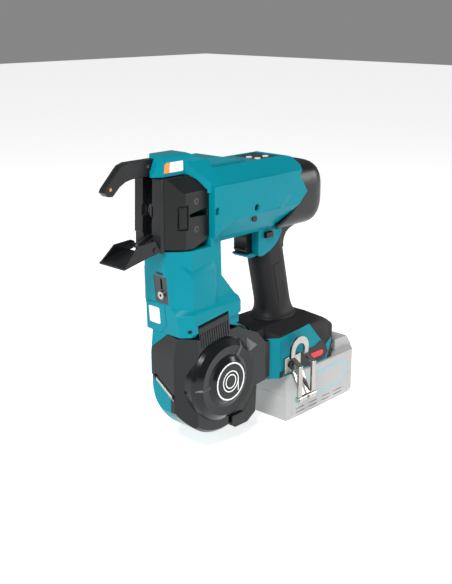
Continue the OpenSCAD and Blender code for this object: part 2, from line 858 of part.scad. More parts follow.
module curl_guide_rivets() {
  color(copper) for (p = rivet_spots) {
    rod_y(rivet_r, -curl_half, curl_half, p[0], p[1]);
    for (s = [-1, 1])
      rod_y(rivet_r + 0.5, min(s * curl_half, s * (curl_half + 0.5)), max(s * curl_half, s * (curl_half + 0.5)),
        p[0], p[1]);
  }
}

module lower_guide() {
  tray_half = nose_w / 2;
  color(charcoal) difference() {
    union() {
      side([
        [tray_x, tray_pin_z - 12], [tray_x, tray_pin_z - 12 + tray_t], [tray_pin_x - 5.5,
          tray_pin_z - 5 + tray_t],
        [tray_pin_x - 5.5, tray_pin_z - 5]
      ], -tray_half, tray_half);
      tray_wall(-tray_half, 0);
      tray_wall(tray_half - tray_t, 4.5);
    }
    rod_y(pin_r + run, -tray_half - 1, tray_half + 1, tray_pin_x, tray_pin_z);
  }
}

// One wall of the tray; the right one stands lower
module tray_wall(y0, drop) {
  side([
    [tray_x, tray_pin_z - 12 + tray_t / 2], [tray_x + 11, tray_pin_z - drop / 2], [tray_x + 18,
      tray_pin_z + 8 - drop],
    [tray_pin_x, tray_pin_z + 9 - drop], [tray_pin_x + 3, tray_pin_z + 2], [tray_pin_x, tray_pin_z - lug_r],
    [tray_pin_x - 5.5, tray_pin_z - 5]
  ], y0, y0 + tray_t);
  rod_y(lug_r, y0, y0 + tray_t, tray_pin_x, tray_pin_z);
}

module lower_guide_pin() {
  color(steel) rod_y(pin_r - run / 2, -nose_w / 2 - 1, nose_w / 2 + 1, tray_pin_x, tray_pin_z);
}

module feed_window() {
  color(steel) on_front() difference() {
    block(0.4, 2, window_right, window_left, window_low, window_top);
    block(-1, 3, tube_y - 1.2, tube_y + 1.2, tube_z + 5.5, tube_z + 16.5);
    translate([-1, tube_y, tube_z]) rotate([0, 90, 0]) cylinder(h = 4, r = tube_r);
  }
}

module wire_tube() {
  color(steel) on_front() translate([0, tube_y, tube_z]) rotate([0, 90, 0]) difference() {
    union() {
      translate([0, 0, -2]) cylinder(h = 2.4, r = tube_r + 1.4);
      translate([0, 0, 0.4]) cylinder(h = 7, r = tube_r - run);
    }
    translate([0, 0, -3]) cylinder(h = 12, r = 1.4);
  }
}

module front_cover() {
  color(teal) intersection() {
    on_front() section(front_panel, -0.6, 2);
    block(mouth_x, front_x, -column_w / 2, column_w / 2, yoke_z, under_z);
  }
}

// Half profile of the reel case in radius and Y
module case_profile(r, right, round_r, left) {
  translate([0, left]) square([r - round_r, right - left]);
  translate([0, left]) square([r, right - round_r - left]);
  translate([r - round_r, right - round_r]) circle(r = round_r);
}

module reel_case() {
  color(teal) difference() {
    union() {
      difference() {
        about_reel() difference() {
          case_profile(drum_r, drum_right, drum_round, rim_y + shell + gap);
          case_profile(drum_r - shell, drum_right - shell, drum_round - shell, rim_y - 5);
        }
        block(reel_x - 80, bonnet_x, -60, 40, 0, yoke_z);
      }
      case_front();
    }
    block(reel_x - 80, reel_x + 80, -60, 40, yoke_z, yoke_z + 40);
    block(reel_x - 80, reel_x + 80, -60, part_y, reel_z - 80, part_z);
    section(flap_outline(gap, 0), reel_x - 80, bonnet_x + bonnet_chamfer + 1);
  }
}

// Flat front of the case between the column and the drum
module case_front() {
  right = flap_y + 1;
  intersection() {
    difference() {
      side(bonnet_side(0, yoke_z), part_y, right);
      side(bonnet_side(wall, yoke_z + 1), part_y - 1, right - wall + 1);
    }
    section([
      [right, yoke_z], [right, reel_z + 9], [right - 4, reel_z - 6], [right - 10, reel_z - 20],
      [right - 16, reel_z - 28], [part_y, reel_z - 28], [part_y, yoke_z]
    ], reel_x - 80, reel_x - 30);
  }
}

// Side outline of the front, moved in by an inset
function bonnet_side(inset, top) = [
  [front_face_x(top) + inset, top], [bonnet_x + inset, reel_z + 30], [bonnet_x + inset, reel_z - 28 - inset],
  [reel_x - 40 + inset, reel_z - 28 - inset], [reel_x - 30 + inset, top]
];

// Outline of the cover's front facet across and up the tool, widened by a slack and with a falling top edge
function flap_outline(slack, fall) = [
  [flap_y + slack, flap_low - swing_room * slack], [flap_y + slack, flap_top - 18 + slack],
  [flap_y - 21 + slack, flap_top + slack], [-60, yoke_z - fall + slack], [-60, skirt_z], [part_y - 1, skirt_z],
  [part_y - 1, flap_low - flap_drop - swing_room * slack]
];

module reel_case_back() {
  color(charcoal) difference() {
    side([
      [reel_x + 24, reel_z - 65], [reel_x + 43, reel_z - 65], [reel_x + 56, reel_z - 57], [reel_x + 58,
        reel_z - 23],
      [base_front, reel_z - 23], [base_front, base_top - 3], [base_front - 14, base_top - 3],
      [reel_x + 46, reel_z + 41], [reel_x + 27.5, yoke_z], [reel_x + 10, yoke_z - 20]
    ], rim_y + 4, drum_right);
    rod_y(drum_r + gap, -60, 60, reel_x, reel_z);
    rod_y(drum_r + 2.5, -60, part_y + 1, reel_x, reel_z);
    block(reel_x, reel_x + 66, rim_y + 7, drum_right - 3, reel_z - 60, reel_z - 26);
  }
}

// Solid of the cover's drum and front, moved in by an inset
module cover_block(inset) {
  difference() {
    union() {
      about_reel() polygon([
        [0, rim_y + inset], [drum_r - 3 - inset / 2, rim_y + inset], [drum_r - inset, rim_y + 3 + inset / 2],
        [drum_r - inset, part_y - gap + inset], [0, part_y - gap + inset]
      ]);
      side(bonnet_side(inset, flap_top + inset), rim_y + inset, flap_y + inset);
    }
    block(reel_x - 90, bonnet_x + inset, -90, 60, 0, reel_z + 30);
    plan([
      [bonnet_x - 30, rim_y - 1], [bonnet_x - 30, rim_y + bonnet_chamfer + inset * 1.4],
      [bonnet_x, rim_y + bonnet_chamfer + inset * 1.4], [bonnet_x + bonnet_chamfer + inset * 1.4, rim_y],
      [bonnet_x + bonnet_chamfer + inset * 1.4, rim_y - 1]
    ], 0, flap_top + 10);
  }
}

// Where the cover's shell stands: the drum below the column, the rim plate and the front facet
module cover_zone() {
  block(reel_x - 80, reel_x + 80, -80, part_y - gap, 0, part_z - gap);
  block(reel_x - 80, reel_x + 80, -80, rim_y + shell, 0, yoke_z - 4);
  section(flap_outline(0, swing_room), reel_x - 80, bonnet_x + bonnet_chamfer + 1);
}

module cover_dome() {
  top_y = rim_y - dome_h;
  about_reel() polygon([
    [0, top_y], [dome_r - 24, top_y], [dome_r - 20, top_y + 3], [dome_r - 17, top_y + 4], [dome_r - 8,
      top_y + 3],
    [dome_in, rim_y - 4], [dome_r, rim_y], [dome_r, rim_y + shell], [dome_r - 3, rim_y + shell],
    [dome_r - 9, top_y + 3 + shell], [0, top_y + shell + 1]
  ]);
  difference() {
    rod_y(dome_r, rim_y, rim_y + bonnet_chamfer, reel_x, reel_z);
    rod_y(dome_in, rim_y - 1, rim_y + bonnet_chamfer + 1, reel_x, reel_z);
    cover_block(shell);
  }
}

module reel_cover() {
  color(smoke) difference() {
    union() {
      difference() {
        intersection() {
          cover_block(0);
          cover_zone();
        }
        cover_block(shell);
        rod_y(dome_in, rim_y - 1, rim_y + shell, reel_x, reel_z);
      }
      cover_dome();
      difference() {
        side([
          [reel_x + 30, reel_z - 26], [base_front - 11, reel_z - 22], [base_front - 11, reel_z + 21],
          [base_front - 25, reel_z + 36], [reel_x + 22, reel_z + 50]
        ], rim_y, rim_y + shell);
        rod_y(dome_in, rim_y - 1, rim_y + shell, reel_x, reel_z);
      }
      on_hinge() {
        block(-knuckle_half, knuckle_half, -knuckle_out_r, shell - knuckle_out_r, -24, 0);
        rod_x(knuckle_out_r, -knuckle_half, knuckle_half, 0, 0);
      }
    }
    on_hinge() rod_x(hinge_pin_r + run, -30, 30, 0, 0);
  }
}

// Bright bar along the lower edge of the cover's front facet
module cover_bar() {
  bar_t = 1.4;
  color(steel) intersection() {
    block(bonnet_x - bar_t, bonnet_x, rim_y + bonnet_chamfer, flap_y - 5, reel_z - 20, reel_z + 20);
    section([
      [flap_y, flap_low + 0.5], [flap_y, flap_low + 4], [rim_y + bonnet_chamfer, flap_low - flap_drop + 1],
      [rim_y + bonnet_chamfer, flap_low - flap_drop - 2.5]
    ], reel_x - 80, reel_x);
  }
}

module hinge_pin() {
  color(steel) on_hinge() rod_x(hinge_pin_r - run / 2, -30.5, 40, 0, 0);
}

module cover_latch() {
  color(charcoal) block(reel_x + 12, reel_x + 30, rim_y - 3, rim_y - 0.3, reel_z - 56, reel_z - 46);
}

module wire_reel() {
  color(charcoal) about_reel() {
    translate([axle_r + run, spool_left]) square([3, spool_right - spool_left]);
    translate([spool_hub_r - 2, spool_left]) square([2, spool_right - spool_left]);
    translate([axle_r + run, (spool_left + spool_right) / 2 - 1]) square([spool_hub_r - axle_r - 1, 2]);
    for (y = [spool_left, spool_right - 2]) translate([spool_hub_r - 2,
      y]) square([spool_r - spool_hub_r + 2, 2]);
  }
}

module wire_winding() {
  color(steel) about_reel() translate([spool_hub_r, spool_left + 2])
    square([spool_r - spool_hub_r - 4, spool_right - spool_left - 4]);
}

module reel_axle() {
  color(steel) {
    rod_y(axle_r, spool_left + 2, drum_right - shell, reel_x, reel_z);
    rod_y(axle_r + 5, spool_right + gap, drum_right - shell, reel_x, reel_z);
  }
}

module trigger() {
  neck_x = lock_x - trigger_travel - 2 * gap;
  step_z = lock_z - 3 - 2 * gap;
  color(charcoal) difference() {
    side([
      [trigger_x + 3, trigger_top], [trigger_x, trigger_low + 4], [trigger_x + 3, trigger_low],
      [trigger_x + 20, trigger_low], [trigger_x + 20, step_z], [neck_x, step_z], [neck_x, trigger_top]
    ], -trigger_w / 2, trigger_w / 2);
    rod_y(14, -trigger_w, trigger_w, trigger_x - 11, (trigger_top + trigger_low) / 2 + 1);
  }
}

module trigger_switch() {
  color(charcoal) union() {
    block(trigger_x + 28, trigger_x + 47, -9, 9, trigger_low - 4, trigger_low + 11);
    block(trigger_x + 20 + trigger_travel + gap, trigger_x + 28, -3, 3, trigger_low + 3, trigger_low + 9);
  }
}

module lock_button() {
  color(charcoal) block(lock_x, lock_x + lock_l, -18 - lock_travel, 18, lock_z - 3, lock_z + 3);
}

module control_panel() {
  color(charcoal) difference() {
    block(panel_x, panel_x + panel_l, -panel_w / 2, panel_w / 2, top_z - panel_t - 1, top_z - 1);
    for (p = button_spots) translate([p[0], p[1], top_z - panel_t]) cylinder(h = 10, r = 3.2 + gap);
  }
}

button_spots = [[panel_x + 9, -10], [panel_x + 9, 2], [panel_x + 26, -6]];

module panel_button(i) {
  color("white") translate([button_spots[i][0], button_spots[i][1], top_z - panel_t + 0.8])
    cylinder(h = panel_t - 1, r = 3.2);
}

module power_button() {
  panel_button(0);
}

module torque_up_button() {
  panel_button(1);
}

module torque_down_button() {
  panel_button(2);
}

module motor_stator() {
  color(steel) ring_x(motor_r, 16, stator_x, stator_x + stator_l);
}

module motor_rotor() {
  color(steel) {
    rod_x(15.5, stator_x + 1, stator_x + stator_l - 1, 0, axis_z);
    rod_x(shaft_r, gear_x + gear_w, tail_x + bearing_w, 0, axis_z);
    translate([gear_x + 0.5, 0, axis_z]) rotate([90, 0, 90]) linear_extrude(gear_w)
      polygon(gear_points(sun_teeth, 0.85, 1.2, 1.25));
  }
}

module cooling_fan() {
  color(charcoal) difference() {
    union() {
      rod_x(fan_hub_r, fan_x, fan_x + fan_l, 0, axis_z);
      rod_x(fan_r, fan_x, fan_x + 2, 0, axis_z);
      for (i = [0:fan_blades - 1]) translate([fan_x + 1, 0, axis_z]) rotate([i * 360 / fan_blades, 0, 0])
        translate([0, -blade_t / 2, fan_hub_r - 1]) cube([fan_l - 1.5, blade_t, fan_r - fan_hub_r]);
    }
    rod_x(shaft_r + run, fan_x - 1, fan_x + fan_l + 1, 0, axis_z);
  }
}

module front_bearing() {
  color(steel) ring_x(bearing_r - run / 2, shaft_r + run, flange_x + 10 - bearing_w, flange_x + 10);
}

module rear_bearing() {
  color(steel) ring_x(bearing_r, shaft_r + run, tail_x, tail_x + bearing_w);
}

module gear_case() {
  color(steel) difference() {
    rod_x(motor_r, gear_x - 2, flange_x + 10, 0, axis_z);
    translate([gear_x - 3, 0, axis_z]) rotate([90, 0, 90]) linear_extrude(flange_x - gear_x + 3)
      polygon(gear_points(ring_teeth, 1.2, 0.85, 1.9));
    rod_x(gear_m * ring_teeth / 2 + 2, gear_x - 3, gear_x - 0.5, 0, axis_z);
    rod_x(bearing_r, flange_x + 10 - bearing_w, flange_x + 11, 0, axis_z);
    rod_x(shaft_r + 2, flange_x - 1, flange_x + 11, 0, axis_z);
  }
}

module planet_gear(i) {
  color(steel) translate([gear_x + 0.5, 0, axis_z]) rotate([90, 0, 90]) rotate(i * 120)
    translate([planet_orbit, 0, 0]) difference() {
      linear_extrude(gear_w - 1) polygon(gear_points(planet_teeth, 0.85, 1.2, 1.25));
      translate([0, 0, -1]) cylinder(h = gear_w + 2, r = 2.5 + run);
    }
}

module planet_gear_1() {
  planet_gear(0);
}

module planet_gear_2() {
  planet_gear(1);
}

module planet_gear_3() {
  planet_gear(2);
}

// Planet carrier, shaft and the twisting hook at its front end
module twist_spindle() {
  hook_front = mouth_x + 6;
  color(steel) {
    rod_x(planet_orbit + 4.5, gear_x - 4, gear_x, 0, axis_z);
    for (i = [0:2]) translate([gear_x - 1, 0, axis_z]) rotate([i * 120 - 90, 0, 0]) translate([0, 0,
      planet_orbit])
      rotate([0, 90, 0]) cylinder(h = gear_w, r = 2.5);
    rod_x(spindle_r, hook_front + 22, gear_x - 3, 0, axis_z);
    difference() {
      rod_x(mouth_w / 2 + 0.5, hook_front, hook_front + 24, 0, axis_z);
      block(hook_front - 1, hook_front + 16, -2, 2, axis_z - 20, axis_z + 20);
      block(hook_front + 5, hook_front + 12, -20, 20, axis_z - 3, axis_z + 3);
    }
  }
}

module spindle_bearing() {
  color(steel) ring_x(spindle_seat_r, spindle_r + run, spindle_x - bearing_w, spindle_x);
}

module feed_motor() {
  color(steel) difference() {
    rod_y(feed_motor_r, feed_half, column_w / 2 - wall, feed_x, feed_z);
    rod_y(feed_shaft_r + run, feed_half - 1, feed_half + 11, feed_x, feed_z);
  }
}

module feed_gear(x, turn, reach) {
  color(steel) {
    translate([x, 3, feed_z]) rotate([90, turn, 0]) linear_extrude(6) polygon(gear_points(feed_teeth,
      0.85, 1.2, 1.25));
    rod_y(feed_shaft_r, -feed_half - feed_journal + gap, feed_half + reach - gap, x, feed_z);
  }
}

module feed_drive_gear() {
  feed_gear(feed_x, 0, 11);
}

module feed_idler_gear() {
  feed_gear(idler_x, 180 / feed_teeth, feed_journal);
}

module terminal_block() {
  color(charcoal) union() {
    block(battery_front + 8, battery_front + 38, -18, 18, rail_top + 4, rail_top + 12);
    for (y = [-12, -4, 4, 12]) block(battery_front + 12, battery_front + 34, y - 0.5, y + 0.5,
      rail_top - 4, rail_top + 4);
  }
}

module battery_plan(inset, z0, z1) {
  x0 = battery_front + inset;
  x1 = battery_rear - inset;
  y1 = battery_w / 2 - inset;
  plan([
    [x0, -y1 + 6], [x0 + 6, -y1], [x1 - 10, -y1], [x1, -y1 + 10],
    [x1, y1 - 10], [x1 - 10, y1], [x0 + 6, y1], [x0, y1 - 6]
  ], z0, z1);
}

module battery_lower_case() {
  color(pale) difference() {
    intersection() {
      battery_plan(0, 0, seam_z);
      section(both([[battery_w / 2 - 5, 0], [battery_w / 2, 8], [battery_w / 2, seam_z]]),
        battery_front, battery_rear);
      side([
        [battery_front, seam_z], [battery_front, 0], [battery_rear - 10, 0], [battery_rear, 8],
          [battery_rear, seam_z]
      ], -battery_w / 2, battery_w / 2);
    }
    block(battery_front + wall, battery_rear - 9, -cell_l / 2 - 1, cell_l / 2 + 1, wall, seam_z + 1);
    for (s = [0, 1], z = [8.4, 13], x = [battery_front + 11:groove_pitch:battery_rear - 24]) mirror([0, s, 0])
      block(x, x + groove_l, battery_w / 2 - 1, battery_w / 2 + 1, z, z + 1.2);
  }
}

module battery_upper_case() {
  top = base_z - gap;
  color(pale) difference() {
    union() {
      battery_plan(0, seam_z, top);
      block(battery_front + 4, battery_rear - 20, -rail_neck / 2, rail_neck / 2, top - 1, rail_z + 1);
      block(battery_front + 4, battery_rear - 20, -rail_w / 2, rail_w / 2, rail_z, rail_top);
      side([
        [hump_x, top - 1], [battery_rear, top - 1], [battery_rear, hump_z - 12], [battery_rear - 9,
          hump_z], [hump_x, hump_z]
      ], -rail_w / 2 - 4, rail_w / 2 + 4);
    }
    block(battery_front + wall, battery_rear - 9, -cell_l / 2 - 1, cell_l / 2 + 1, seam_z - 1, top - 5);
    for (y = [-12, -4, 4, 12]) block(battery_front, battery_front + 40, y - 1.2, y + 1.2, top - 4,
      rail_top + 1);
    block(battery_rear - 8, battery_rear + 1, -13 - gap, 13 + gap, hump_z - 26, hump_z - 14);
  }
}

module battery_cells() {
  pitch = 2 * cell_r + gap;
  color("seagreen") for (i = [0:4], k = [0:1])
    rod_y(cell_r, -cell_l / 2, cell_l / 2, (battery_front + battery_rear) / 2 + (i - 2) * pitch,
      wall + gap + cell_r + k * pitch);
}

module battery_button() {
  color(charcoal) block(battery_rear - 8 + release_travel + gap, battery_rear, -13, 13,
    hump_z - 26 + gap, hump_z - 14 - gap);
}

module hook_bracket() {
  plate_low = base_z + 4;
  knee_y = -side_reach - 2;
  knee_z = plate_low + 0.6;
  color(steel) difference() {
    union() {
      block(hook_screw_x - 10, hook_x + leg_offset + leg_w, flank_y - strip_t, flank_y, plate_low,
        plate_low + 18);
      for (s = [-1, 1]) {
        section([
          [flank_y, plate_low + 2], [flank_y - strip_t, plate_low + 4.5], [knee_y - 2, knee_z + 2],
          [hook_pin_y - strip_t / 2, hook_pin_z + 1], [hook_pin_y + strip_t / 2, hook_pin_z - 0.5],
            [knee_y, knee_z]
        ], hook_x + s * leg_offset - leg_w / 2, hook_x + s * leg_offset + leg_w / 2);
        rod_x(knuckle_r, hook_x + s * leg_offset - leg_w / 2, hook_x + s * leg_offset + leg_w / 2,
          hook_pin_y, hook_pin_z);
      }
    }
    rod_x(hook_pin_r, hook_x - hook_w, hook_x + hook_w, hook_pin_y, hook_pin_z);
    rod_y(screw_r + 0.3, flank_y - 10, flank_y + 1, hook_screw_x, hook_screw_z);
  }
}

// Wire loop of the hook: a flat strip bent up from the pin, with a jog towards the tool halfway
module hook_loop() {
  half = hook_w / 2;
  jog_z = hook_pin_z + 39;
  jog = 11;
  back_y = hook_pin_y - strip_t / 2;
  color(steel) difference() {
    union() {
      intersection() {
        translate([hook_x, hook_pin_y + 2 * jog, hook_pin_z]) rotate([90, 0,
          0]) linear_extrude(4 * jog) difference() {
          hook_outline(half);
          translate([0, -1]) hook_outline(loop_in);
        }
        section([
          [back_y, hook_pin_z], [back_y, jog_z], [back_y + jog, jog_z + 7], [back_y + jog, hook_pin_z + hook_h],
          [back_y + jog + strip_t, hook_pin_z + hook_h], [back_y + jog + strip_t, jog_z + 6],
          [back_y + strip_t, jog_z - 1], [back_y + strip_t, hook_pin_z]
        ], hook_x - half, hook_x + half);
      }
      for (s = [0, 1]) translate([hook_x, 0, 0]) mirror([s, 0, 0]) rod_x(knuckle_r, loop_in, half,
        hook_pin_y, hook_pin_z);
    }
    rod_x(hook_pin_r + run, hook_x - hook_w, hook_x + hook_w, hook_pin_y, hook_pin_z);
  }
}

module hook_outline(half) {
  arch_z = hook_h - hook_w / 2;
  translate([-half, 0]) square([2 * half, arch_z]);
  translate([0, arch_z]) circle(r = half);
}

module hook_pin() {
  color(steel) {
    rod_x(hook_pin_r - run / 2, hook_x - hook_w / 2 - 1, hook_x + hook_w / 2 + 1, hook_pin_y, hook_pin_z);
    for (s = [0, 1]) translate([hook_x, 0, 0]) mirror([s, 0, 0])
      rod_x(hook_pin_r + 0.8, hook_w / 2 + gap, hook_w / 2 + gap + 1, hook_pin_y, hook_pin_z);
  }
}

module hook_screw() {
  color(steel) difference() {
    union() {
      rod_y(screw_r + 2, flank_y - strip_t - 2, flank_y - strip_t, hook_screw_x, hook_screw_z);
      rod_y(screw_r - run, flank_y - strip_t - 1, flank_y + 9, hook_screw_x, hook_screw_z);
    }
    translate([hook_screw_x, flank_y - strip_t - 1, hook_screw_z]) rotate([90, 0, 0]) cylinder(h = 2,
      r = 1.6, $fn = 6);
  }
}

module housing_screws() {
  color(steel) for (z = flank_screw_zs) {
    rod_y(screw_r + 1.4, -half_w + 1, -half_w + 2.4, flank_screw_x, z);
    rod_y(screw_r - run, -half_w + 2, -half_w + 7.5, flank_screw_x, z);
  }
}

module placed() {
  translate([-centre_x, -centre_y, 0]) children();
}

placed() left_housing();
placed() right_housing();
placed() rear_cover();
placed() handle_grip();
placed() base_grip();
placed() head_frame();
placed() left_head_cover();
placed() right_head_cover();
placed() left_contact_plate();
placed() right_contact_plate();
placed() head_screws();
placed() curl_guide_core();
placed() left_curl_plate();
placed() right_curl_plate();
placed() curl_guide_rivets();
placed() lower_guide();
placed() lower_guide_pin();
placed() feed_window();
placed() wire_tube();
placed() front_cover();
placed() reel_case();
placed() reel_case_back();
placed() reel_cover();
placed() cover_bar();
placed() hinge_pin();
placed() cover_latch();
placed() wire_reel();
placed() wire_winding();
placed() reel_axle();
placed() trigger();
placed() trigger_switch();
placed() lock_button();
placed() control_panel();
placed() power_button();
placed() torque_up_button();
placed() torque_down_button();
placed() motor_stator();
placed() motor_rotor();
placed() cooling_fan();
placed() front_bearing();
placed() rear_bearing();
placed() gear_case();
placed() planet_gear_1();
placed() planet_gear_2();
placed() planet_gear_3();
placed() twist_spindle();
placed() spindle_bearing();
placed() feed_motor();
placed() feed_drive_gear();
placed() feed_idler_gear();
placed() terminal_block();
placed() battery_lower_case();
placed() battery_upper_case();
placed() battery_cells();
placed() battery_button();
placed() hook_bracket();
placed() hook_loop();
placed() hook_pin();
placed() hook_screw();
placed() housing_screws();
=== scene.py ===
# %% [markdown]
# # A cordless rebar tying tool
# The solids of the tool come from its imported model. This lesson dresses them: moulded edges are rounded,
# every finish is drawn with shader nodes, and the small things that a solid model leaves out are added.

# %% The frame
import json
import math

import bmesh
import bpy
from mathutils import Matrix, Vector


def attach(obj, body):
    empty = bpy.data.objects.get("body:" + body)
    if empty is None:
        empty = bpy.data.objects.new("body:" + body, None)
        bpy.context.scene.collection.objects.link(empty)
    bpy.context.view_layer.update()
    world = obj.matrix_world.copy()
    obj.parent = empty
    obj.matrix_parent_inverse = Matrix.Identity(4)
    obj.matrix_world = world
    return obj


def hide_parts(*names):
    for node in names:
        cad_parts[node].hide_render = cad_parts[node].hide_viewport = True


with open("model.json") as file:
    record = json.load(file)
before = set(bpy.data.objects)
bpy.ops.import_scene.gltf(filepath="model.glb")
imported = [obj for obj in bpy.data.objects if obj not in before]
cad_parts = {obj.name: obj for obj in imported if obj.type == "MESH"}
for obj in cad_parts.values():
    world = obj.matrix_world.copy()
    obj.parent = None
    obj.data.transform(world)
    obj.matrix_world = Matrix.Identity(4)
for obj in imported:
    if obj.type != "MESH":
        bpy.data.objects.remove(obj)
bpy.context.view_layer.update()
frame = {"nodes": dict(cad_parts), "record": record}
node_body = {n: b for b, ns in frame["record"]["behaviour"]["bodies"].items() for n in ns}
node_slot = {s["node"]: s["material_slot"] for s in frame["record"]["subparts"]}

# %% [markdown]
# Sizes below are in millimetres, measured from the tool's middle plane and from the underside of the
# battery, because that is how the parts are drawn. One helper turns them into the frame's metres.

# %% Millimetres to the frame
MM = 0.001
MIDDLE = Vector((12.0, -10.3, 0.0))


def at(x, y, z):
    return (Vector((x, y, z)) - MIDDLE) * MM


print("middle plane sits at Y =", round(at(0, 0, 0).y, 4))

# %% [markdown]
# Shader maths reads best as plain expressions. `Wire` wraps one output of a node and turns plus and times
# into Math nodes. `Finish` owns a material and makes every other node with one method.

# %% Shader helpers


class Wire:
    """One output of a node, ready for arithmetic"""

    def __init__(self, finish, socket):
        self.finish = finish
        self.socket = socket

    def _math(self, operation, other):
        return self.finish.node("ShaderNodeMath", {"operation": operation}, {0: self, 1: other})

    def __add__(self, other):
        return self._math("ADD", other)

    def __mul__(self, other):
        return self._math("MULTIPLY", other)


class Finish:
    """One material and the nodes that draw it"""

    def __init__(self, name, **constants):
        self.material = bpy.data.materials.new(name)
        self.material.use_nodes = True
        self.tree = self.material.node_tree
        self.shader = self.tree.nodes["Principled BSDF"]
        self.place = self.node("ShaderNodeTexCoord", output="Object")
        for key, value in constants.items():
            self.feed(key.replace("_", " ").title().replace("Ior", "IOR"), value)

    def join(self, socket, value):
        if isinstance(value, Wire):
            self.tree.links.new(value.socket, socket)
        else:
            socket.default_value = value

    def node(self, kind, settings=None, inputs=None, output=0):
        made = self.tree.nodes.new(kind)
        for key, value in (settings or {}).items():
            if key == "stops":
                for spot, (where, colour) in zip(made.color_ramp.elements, value):
                    spot.position = where
                    spot.color = colour
            else:
                setattr(made, key, value)
        for key, value in (inputs or {}).items():
            self.join(made.inputs[key], value)
        return Wire(self, made.outputs[output])

    def feed(self, socket, value):
        self.join(self.shader.inputs[socket], value)

    def noise(self, scale, detail=2.0, stretch=None):
        place = self.place
        if stretch:
            place = self.node("ShaderNodeMapping", None, {"Vector": place, "Scale": stretch})
        return self.node("ShaderNodeTexNoise", None, {"Vector": place, "Scale": scale, "Detail": detail})

    def mix(self, factor, first, second):
        """A mix of two colours, which are sockets 6 and 7 of a Mix node"""
        return self.node("ShaderNodeMix", {"data_type": "RGBA"}, {0: factor, 6: first, 7: second}, output=2)

    def gloss(self, noise, roughness, swing):
        """Roughness that swings about its middle value with a noise"""
        self.feed("Roughness", noise * swing + (roughness - swing / 2))

    def bump(self, height, distance, strength):
        sockets = {"Height": height, "Distance": distance, "Strength": strength}
        self.feed("Normal", self.node("ShaderNodeBump", None, sockets))


print("shader helpers ready")

# %% [markdown]
# Moulded plastic is never one flat colour: the tone drifts a little, the mould leaves a fine spark-eroded
# grain, and handling leaves the gloss uneven. Three noises at three scales do this, and the grain also
# lifts the normal by a few hundredths of a millimetre.

# %% Moulded finishes
DRIFT_SCALE, GLOSS_SCALE = 22.0, 60.0
GLOSS_SWING, COAT_ROUGHNESS, GRAIN_STRENGTH = 0.16, 0.12, 0.55


def linear(share):
    return share / 12.92 if share <= 0.04045 else ((share + 0.055) / 1.055) ** 2.4


def rgba(red, green, blue):
    """A screen colour, 0 to 255, as the linear colour that shaders use"""
    return (linear(red / 255), linear(green / 255), linear(blue / 255), 1.0)


def moulded(name, colour, tint, roughness, grain=2600.0, depth=0.00003, coat=0.0, shine=0.35):
    f = Finish(name, coat_roughness=COAT_ROUGHNESS, coat_weight=coat, specular_ior_level=shine)
    grains = f.noise(grain)
    f.feed("Base Color", f.mix(f.noise(DRIFT_SCALE, 3.0) * 0.7 + grains * 0.15, colour, tint))
    f.gloss(f.noise(GLOSS_SCALE, 4.0), roughness, GLOSS_SWING)
    f.bump(grains, depth, GRAIN_STRENGTH)
    return f.material


SMOOTH = {"grain": 3200.0, "depth": 0.00001, "coat": 0.2}
RUBBERY = {"grain": 1900.0, "depth": 0.00006}
teal = moulded("teal_moulding", rgba(0, 118, 132), rgba(0, 130, 145), 0.34, shine=0.09)
dark = moulded("charcoal_moulding", rgba(16, 17, 18), rgba(23, 24, 25), 0.34, shine=0.26)
rubber = moulded("soft_grip_rubber", rgba(19, 19, 21), rgba(26, 26, 28), 0.56, shine=0.22, **RUBBERY)
smoke = moulded("smoked_cover", rgba(10, 12, 14), rgba(18, 22, 24), 0.2, shine=0.2, **SMOOTH)
pale = moulded("pale_case", rgba(166, 166, 166), rgba(176, 176, 175), 0.45)
white = moulded("white_keys", rgba(232, 233, 234), rgba(240, 240, 240), 0.4)
spool = moulded("spool_moulding", rgba(46, 47, 50), rgba(54, 55, 58), 0.5)
wrap = moulded("cell_wrap", rgba(28, 112, 84), rgba(36, 126, 96), 0.35)
# A lighter copy of the cover's dark: a painted highlight for the dome wedges and the ear facet
highlight_grey = moulded("painted_highlight_facets", rgba(66, 70, 73), rgba(80, 84, 87), 0.3, **SMOOTH)
orange = moulded("orange_film", rgba(238, 132, 40), rgba(246, 146, 56), 0.4)
red = moulded("red_film", rgba(205, 34, 52), rgba(216, 44, 60), 0.36)
cyan = moulded("pale_cyan_film", rgba(116, 186, 200), rgba(126, 194, 208), 0.42)
print("moulded finishes: from", teal.name, "to", cyan.name)

# %% [markdown]
# The metals carry fine drawn lines. A noise squeezed along one axis gives the lines; it drives the
# roughness and a very shallow bump. Black coated steel is a coating on metal, so it is not metallic itself,
# but thin spots let the steel through.

# %% Metal finishes
LINE_SCALE, TONE_SCALE = 900.0, 30.0
FINE_SCALE, WEAR_SCALE = 1500.0, 70.0
METAL_SWING, METAL_STRENGTH = 0.2, 0.5
THIN_STOPS = [(0.6, (0, 0, 0, 1)), (0.78, (1, 1, 1, 1))]


def drawn(name, colour, tint, roughness, stretch):
    f = Finish(name, metallic=1.0)
    lines = f.noise(LINE_SCALE, 3.0, stretch)
    f.feed("Base Color", f.mix(f.noise(TONE_SCALE, 3.0), colour, tint))
    f.gloss(lines, roughness, METAL_SWING)
    f.bump(lines, 0.00002, METAL_STRENGTH)
    return f.material


def coated(name, colour, bare, roughness):
    f = Finish(name, specular_ior_level=0.3)
    fine = f.noise(FINE_SCALE, 3.0)
    worn = f.noise(WEAR_SCALE, 6.0) * 0.75 + fine * 0.25
    thin = f.node("ShaderNodeValToRGB", {"stops": THIN_STOPS}, {"Fac": worn})
    f.feed("Base Color", f.mix(thin * 0.35, colour, bare))
    f.feed("Metallic", thin * 0.5)
    f.gloss(fine, roughness, METAL_SWING)
    f.bump(fine, 0.00003, METAL_STRENGTH)
    return f.material


